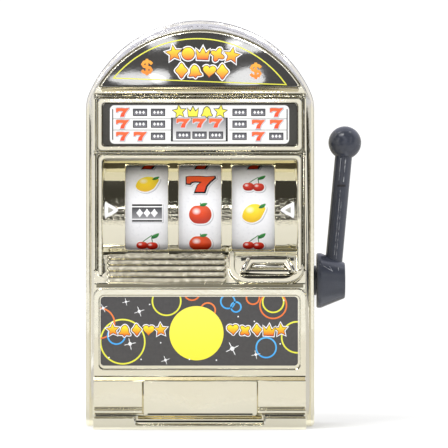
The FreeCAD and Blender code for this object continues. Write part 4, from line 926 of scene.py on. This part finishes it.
# painted shade: dark lines in the deck's grooves, and along each rib's top under the rib above
lines, cast_shadows = Print(), Print()
for along, width in ((-0.3, 0.2), (-0.95, 0.25)):
    lines.add(box(31.6, width, width * 0.3), -9.0, along)
for along in (-3.2, -5.2, -7.2, -9.2):
    cast_shadows.add(box(31.6, 0.36, 0.1), -9.1, along)
lay_on_deck(lines, "deck_grooves", "shade_ink", ON_DECK)
lay_on_deck(cast_shadows, "rib_cast_shadows", "shade_ink", ON_RIBS)

# painted shade in the coin head's scoop and throat, and dark lines along its bezel
recess = Print()
recess.add(stroke([(11.2, -2.6), (13.4, -2.15), (18.4, -1.9), (23.4, -2.15), (25.6, -2.6)], 1.0))
recess.add(stroke([(11.0, -8.75), (18.4, -8.8), (25.8, -8.75)], 1.2))
lay_on_deck(recess, "scoop_shadow", "shade_ink", ON_DECK)
inside = Print().add([[(13.5, -6.9), (23.7, -6.9), (22.6, -4.1), (14.6, -4.1)]])
lay_on_deck(inside, "throat_shade", "shade_ink", ON_FLOOR)
bridge = Print()
bridge.add(stroke([(13.2, -3.45), (23.9, -3.45)], 0.5))
bridge.add(stroke([(12.4, -7.5), (24.8, -7.5)], 0.6))
lay_on_deck(bridge, "bezel_shade_lines", "shade_ink", ON_BEZEL)
for name, foot, top in (("left", 11.5, 13.3), ("right", 25.7, 23.9)):
    rod(f"bezel_bar_{name}", [on_deck(foot, -7.7, 1.5), on_deck(top, -3.3, 1.5)], 0.62, BRIGHT)
sill = [on_deck(14.2, -5.5, 0.75), on_deck(18.6, -5.45, 0.8), on_deck(23.0, -5.5, 0.75)]
rod("coin_sill", sill, 0.5, BRIGHT)


# ---------------------------------------------------------------- lines of the case front
def shade_gilt(place, wire):
    """Plating painted darker and deeper gold as painted shade, for rods and bands in corners and along
    steps.
    """
    haze = noise(place, 400.0, 2.0)
    wire("Base_Color", haze.mix((0.70, 0.61, 0.36), (0.80, 0.71, 0.46)))
    wire("Roughness", 0.16 + haze * 0.1)
    wire("Normal", bump(place, haze, 0.00001))


SHADED_GILT = material("shade_gilt_plating", shade_gilt, Metallic=1.0)
shelf_strips = Print()
for name, side in SIDES:
    shelf_strips.add(box(12.0, 0.5), side * 22.3, 5.6)
    shelf_strips.add(box(10.6, 0.45), side * 22.9, 3.75)
shelf_strips.lay("step_shadow", "shade_ink", SHELF_FACE, 0)
for name, color, depth, across, up, width, height in (
    ("door_shadow", "shade_ink", DOOR_FACE, 0.1, 4.15, 28.4, 0.42),
    ("tray_shadow", "shade_ink", TRAY_FACE, 0.0, 1.95, 34.8, 0.5),
    ("bar_shadow", "shade_ink", FRAME_FACE, 0.0, 93.25, 53.0, 0.3),
    ("deck_foot_shadow", "olive", STEP_FACE, 0.0, 38.8, 56.2, 0.95),
):
    Print().add(box(width, height), across, up).lay(name, color, depth, 0)

upper = Print()
for across, width in ((-23.8, 6.4), (-7.27, 2.3), (7.27, 2.3), (23.8, 6.4)):
    for step in range(4):
        upper.add(box(width, 0.5), across, 13.8 + step * 0.5)
lifted = PANEL_RADIUS + 0.01
for vert in upper.work.verts:
    angle = vert.co.y / PANEL_RADIUS
    depth = lifted * math.cos(angle) - PANEL_BACK
    height = lifted * math.sin(angle) + PANEL_HEIGHT
    vert.co = (vert.co.x * MM, -depth * MM, height * MM)
upper.finish("panel_top_shadow", "olive_dark", "root")
ridge = stroke(arc_path(32.55, 33, 147, 60), 0.3)
Print().add(ridge, 0.0, ARCH_CENTRE).lay("arch_ridge_shadow", "olive_dark", RIDGE_FACE, 0)


def bar(name, start, end, radius, finish):
    """A straight rod of the case, its ends in millimetres."""
    rod(name, [[v * MM for v in point] for point in (start, end)], radius, finish)


# painted shade: the bars in the case's corners and steps use the darker gold
bar("marquee_bar", (-27.0, -16.5, 92.2), (27.0, -16.5, 92.2), 0.8, SHADED_GILT)
bar("door_edge_left", (-15.3, -21.95, 4.4), (-15.3, -21.95, 13.0), 0.36, SHADED_GILT)
bar("door_edge_right", (15.45, -21.95, 4.4), (15.45, -21.95, 13.0), 0.36, SHADED_GILT)
bar("tray_bead", (-16.9, -18.2, 3.05), (16.9, -18.2, 3.05), 0.5, SHADED_GILT)
for name, side in SIDES:
    across = side * 17.7
    bar(f"tray_cheek_{name}", (across, -22.25, 0.9), (across, -22.25, 3.2), 0.45, BRIGHT)
# painted shade: the sloping step between belly and plinth is a band of darker gold
slope = Print().add(box(57.0, 1.35), 0.0, 0.0)
for vert in slope.work.verts:
    depth, height = 21.38 - vert.co.y * 0.59, 13.77 + vert.co.y * 0.81
    vert.co = (vert.co.x * MM, -depth * MM, height * MM)
slope.finish("step_band", SHADED_GILT, "root")


# ---------------------------------------------------------------- painted highlight lines and the gate mark of the lever
def highlight_black(place, wire):
    """Black moulding painted grey in streaks, for painted highlight lines."""
    streak = noise(place, 900.0, 3.0)
    wire("Base_Color", streak.step(0.5, 0.25).mix((0.05, 0.055, 0.075), (0.42, 0.43, 0.46)))
    wire("Roughness", 0.15 + streak * 0.15)


HIGHLIGHT_BLACK = material("highlight_black_moulding", highlight_black)
LEAN = math.tan(math.radians(5.3))
ARM_RADIUS, ARM_FOOT, ARM_FOOT_HEIGHT = 2.38, 36.45, 40.0


def on_arm(side, up):
    """A point on the front of the leaning arm, side millimetres to the right of its middle line."""
    across = ARM_FOOT + (up - ARM_FOOT_HEIGHT) * LEAN + side
    return (across * MM, -math.sqrt(ARM_RADIUS**2 - side**2) * MM, up * MM)


def arm_line(name, side, low, high, radius):
    points = [on_arm(side, up) for up in (low, (low + high) / 2, high)]
    rod(name, points, radius, HIGHLIGHT_BLACK, "lever")


# painted highlights: thin grey rods along the front of the arm
arm_line("arm_line_0", -0.75, 67.5, 73.8, 0.09)
arm_line("arm_line_1", 0.55, 67.2, 73.9, 0.13)
arm_line("arm_line_2", -0.1, 47.0, 65.0, 0.05)
arm_line("arm_line_3", 0.5, 46.0, 62.0, 0.04)
sheet = Print().add(box(2.3, 0.6, 0.15), 0.1, 66.2)
for step in range(-4, 5):
    sheet.cut((step * 0.3, 0, 0), (1, 0, 0), clear=False)
for vert in sheet.work.verts:
    vert.co = Vector(on_arm(vert.co.x, vert.co.y)) - Vector((0, 0.02 * MM, 0))
sheet.finish("arm_gate_mark", "soot", "lever")


def hub_line(name, places, radius):
    """A painted highlight line over the front of the tapered hub, at places (across, up)."""
    points = []
    for across, up in places:
        start = Vector((across * MM, -0.2, up * MM))
        points.append(frame["nodes"]["lever_hub"].ray_cast(start, Vector((0, 1, 0)))[1])
    rod(name, points, radius, HIGHLIGHT_BLACK, "lever")


# painted highlights: a diagonal line and two glints over the hub
hub_line("hub_line", [(32.9, 44.6), (34.7, 43.6), (36.5, 42.6)], 0.09)
hub_line("hub_glint_left", [(35.6, 44.0), (36.0, 43.3), (36.3, 42.6)], 0.07)
hub_line("hub_glint_right", [(38.0, 44.0), (38.05, 43.4), (38.1, 42.8)], 0.09)

# ---------------------------------------------------------------- studio
ground = bpy.data.meshes.new("floor")
REACH = 3.0
corners = [(-REACH, -REACH, 0), (REACH, -REACH, 0), (REACH, REACH, 0), (-REACH, REACH, 0)]
ground.from_pydata(corners, [], [(0, 1, 2, 3)])
floor = bpy.data.objects.new("floor", ground)
scene.collection.objects.link(floor)


def pale(place, wire):
    cloud = noise(place, 3.0, 2.0)
    wire("Base_Color", cloud.mix((0.93, 0.93, 0.93), (0.95, 0.95, 0.95)))


floor.data.materials.append(material("pale_floor", pale, Roughness=0.9, Specular_IOR_Level=0.1))


def studio():
    """White all round, except in what gloss mirrors.

    That has a lit card round the camera, a dark room beyond it up to a bright ceiling, two tall
    light strips, and behind the machine a cool light above and a greyer one below.
    """
    world = bpy.data.worlds.new("studio")
    world.use_nodes = True
    scene.world = world
    tree = world.node_tree
    tree.nodes.clear()
    coordinates = tree.nodes.new("ShaderNodeTexCoord")
    way = Socket(tree, coordinates.outputs["Generated"])
    ahead = (0.0 - way.part("Y")).step(0.05, 0.3)
    height = way.part("Z")
    side = way.part("X").absolute()
    card = (1.0 - height.absolute().step(0.07, 0.02)) * (1.0 - side.step(0.12, 0.04))
    strips = side.within(0.60, 0.70, 0.04) * (1.0 - height.step(0.5, 0.2))
    room = (1.0 - height.step(0.915, 0.03)) * height.step(-0.25, 0.05)
    room = room * (1.0 - side.step(0.93, 0.08))
    dark = room * ahead * (1.0 - card) * (1.0 - strips)
    behind = 1.0 - ahead
    low_behind = behind * (1.0 - height.step(0.05, 0.5))
    light = (behind * height.step(0.35, 0.3)).mix((0.80, 0.785, 0.775), (0.80, 0.81, 0.95))
    light = low_behind.mix(light, (0.58, 0.56, 0.52))
    light = (strips * ahead).mix(light, (1.25, 1.25, 1.2))
    mirrored = dark.mix(light, (0.036, 0.034, 0.028))
    rays = tree.nodes.new("ShaderNodeLightPath")
    glossy = Socket(tree, rays.outputs["Is Glossy Ray"])
    light = glossy.mix((1.0, 1.0, 1.0), mirrored)
    background = tree.nodes.new("ShaderNodeBackground")
    tree.links.new(light.socket, background.inputs["Color"])
    background.inputs["Strength"].default_value = 1.1
    output = tree.nodes.new("ShaderNodeOutputWorld")
    tree.links.new(background.outputs[0], output.inputs[0])


studio()


def flag(name, corners, dark, light):
    """A card that nothing sees except what mirrors it."""
    data = bpy.data.meshes.new(name)
    data.from_pydata([tuple(v * MM for v in corner) for corner in corners], [], [(0, 1, 2, 3)])
    card = bpy.data.objects.new(name, data)
    scene.collection.objects.link(card)
    data.materials.append(material(name, moulded(dark, light, 40.0)))
    for kind in ("camera", "diffuse", "shadow", "transmission", "volume_scatter"):
        setattr(card, f"visible_{kind}", False)


def lying(name, left, right, near, far, height, tones):
    """A card that lies level."""
    corners = [(left, near), (right, near), (right, far), (left, far)]
    flag(name, [(x, y, height) for x, y in corners], *tones)


def standing(name, left, right, depth, low, high, tones):
    """A card that stands facing the camera's way."""
    corners = [(left, low), (right, low), (right, high), (left, high)]
    flag(name, [(x, depth, z) for x, z in corners], *tones)


DARK = ((0.03, 0.028, 0.022), (0.04, 0.037, 0.03))
MID = ((0.46, 0.445, 0.41), (0.52, 0.50, 0.46))
SOFT = ((0.62, 0.61, 0.59), (0.66, 0.65, 0.63))
PALE = ((0.72, 0.70, 0.66), (0.76, 0.74, 0.70))
COOL = ((0.78, 0.80, 0.93), (0.82, 0.84, 0.97))
CARD_DEPTH, CARD_END, CARDS = -26, 46, 12
lying("cloth_in_front", -700, 700, -800, -200, 0.5, DARK)
standing("kicker_card", -300, 300, -170, 0.2, 22, PALE)
lying("pale_cloth", -700, 700, -170, CARD_DEPTH, 0.4, SOFT)
lying("cloth_behind", -700, 700, 26, 800, 0.4, MID)
lying("cloth_left", -700, -45, CARD_DEPTH, 26, 0.4, MID)
lying("cloth_right", 60, 700, CARD_DEPTH, 26, 0.4, MID)
lying("ceiling_flag", -100, 100, -60, -9, 200, DARK)
standing("panel_cloth", -27, 27, -60, 56.5, 61.5, DARK)
for step in range(CARDS):
    corners = []
    for reach, turn in ((37, step), (37, step + 1), (CARD_END, step + 1), (CARD_END, step)):
        angle = math.pi * turn / CARDS
        corners.append((reach * math.cos(angle), CARD_DEPTH, ARCH_CENTRE + reach * math.sin(angle)))
    flag(f"arch_card_{step}", corners, *COOL)
for name, side in SIDES:
    standing(f"side_card_{name}", side * 36.5, side * CARD_END, CARD_DEPTH, 0.5, ARCH_CENTRE, PALE)


def softbox(name, place, aim, size, power):
    lamp = bpy.data.lights.new(name, "AREA")
    lamp.shape = "RECTANGLE"
    lamp.size, lamp.size_y = size
    lamp.energy = power
    thing = bpy.data.objects.new(name, lamp)
    scene.collection.objects.link(thing)
    thing.location = place
    thing.rotation_euler = (Vector(aim) - Vector(place)).to_track_quat("-Z", "Y").to_euler()
    return thing


for name, side in SIDES:
    place = (0.04 + side * 0.42, 0.02, 0.9)
    spark = softbox(f"spark_{name}", place, (0.04, 0, 0.078), (0.09, 0.05), 0.35)
    spark.visible_diffuse = False
softbox("key_light", (-0.25, -0.35, 0.75), (0, 0, 0.05), (0.35, 0.25), 2.2)

# The view is VIEW_WIDTH wide about where the marquee's frame is, behind the foremost point.
VIEW_WIDTH = 0.1219
DISTANCE = 1.0
MIDDLE = (cad_low + cad_high) / 2
camera = bpy.data.objects.new("camera", bpy.data.cameras.new("camera"))
scene.collection.objects.link(camera)
camera.data.lens = 36 * DISTANCE / VIEW_WIDTH
camera.location = (MIDDLE.x, cad_low.y + 0.006 - DISTANCE, MIDDLE.z - 0.0002)
camera.rotation_euler = (math.radians(90), 0, 0)
camera.data.clip_end = 20
scene.camera = camera
GLARE_DISTANCE = 0.25
GLARE_RADIANCE = 15.0


def glare(name, across, up, width, height):
    """A small lamp that only gloss mirrors, placed where the camera sees it in the marquee film."""
    spot = Vector((across * MM, -MARQUEE * MM, up * MM))
    look = (spot - camera.location).normalized()
    place = spot + Vector((look.x, -look.y, look.z)) * GLARE_DISTANCE
    power = GLARE_RADIANCE * math.pi * width * height * MM * MM
    lamp = softbox(name, place, spot, (width * MM, height * MM), power)
    lamp.data.shape = "ELLIPSE"
    lamp.visible_diffuse = False
    lamp.visible_camera = False


glare("glare_low_left", -16.6, 95.0, 19.5, 4.2)
glare("glare_low_right", 12.9, 95.4, 12.5, 6.2)
glare("glare_low_middle", -10.6, 95.8, 8.5, 5.4)
glare("glare_high_left", -10.4, 105.2, 11.0, 3.4)
glare("glare_high_right", 12.2, 104.2, 14.0, 3.8)
glare("glare_top_right", 9.0, 105.6, 6.0, 2.6)
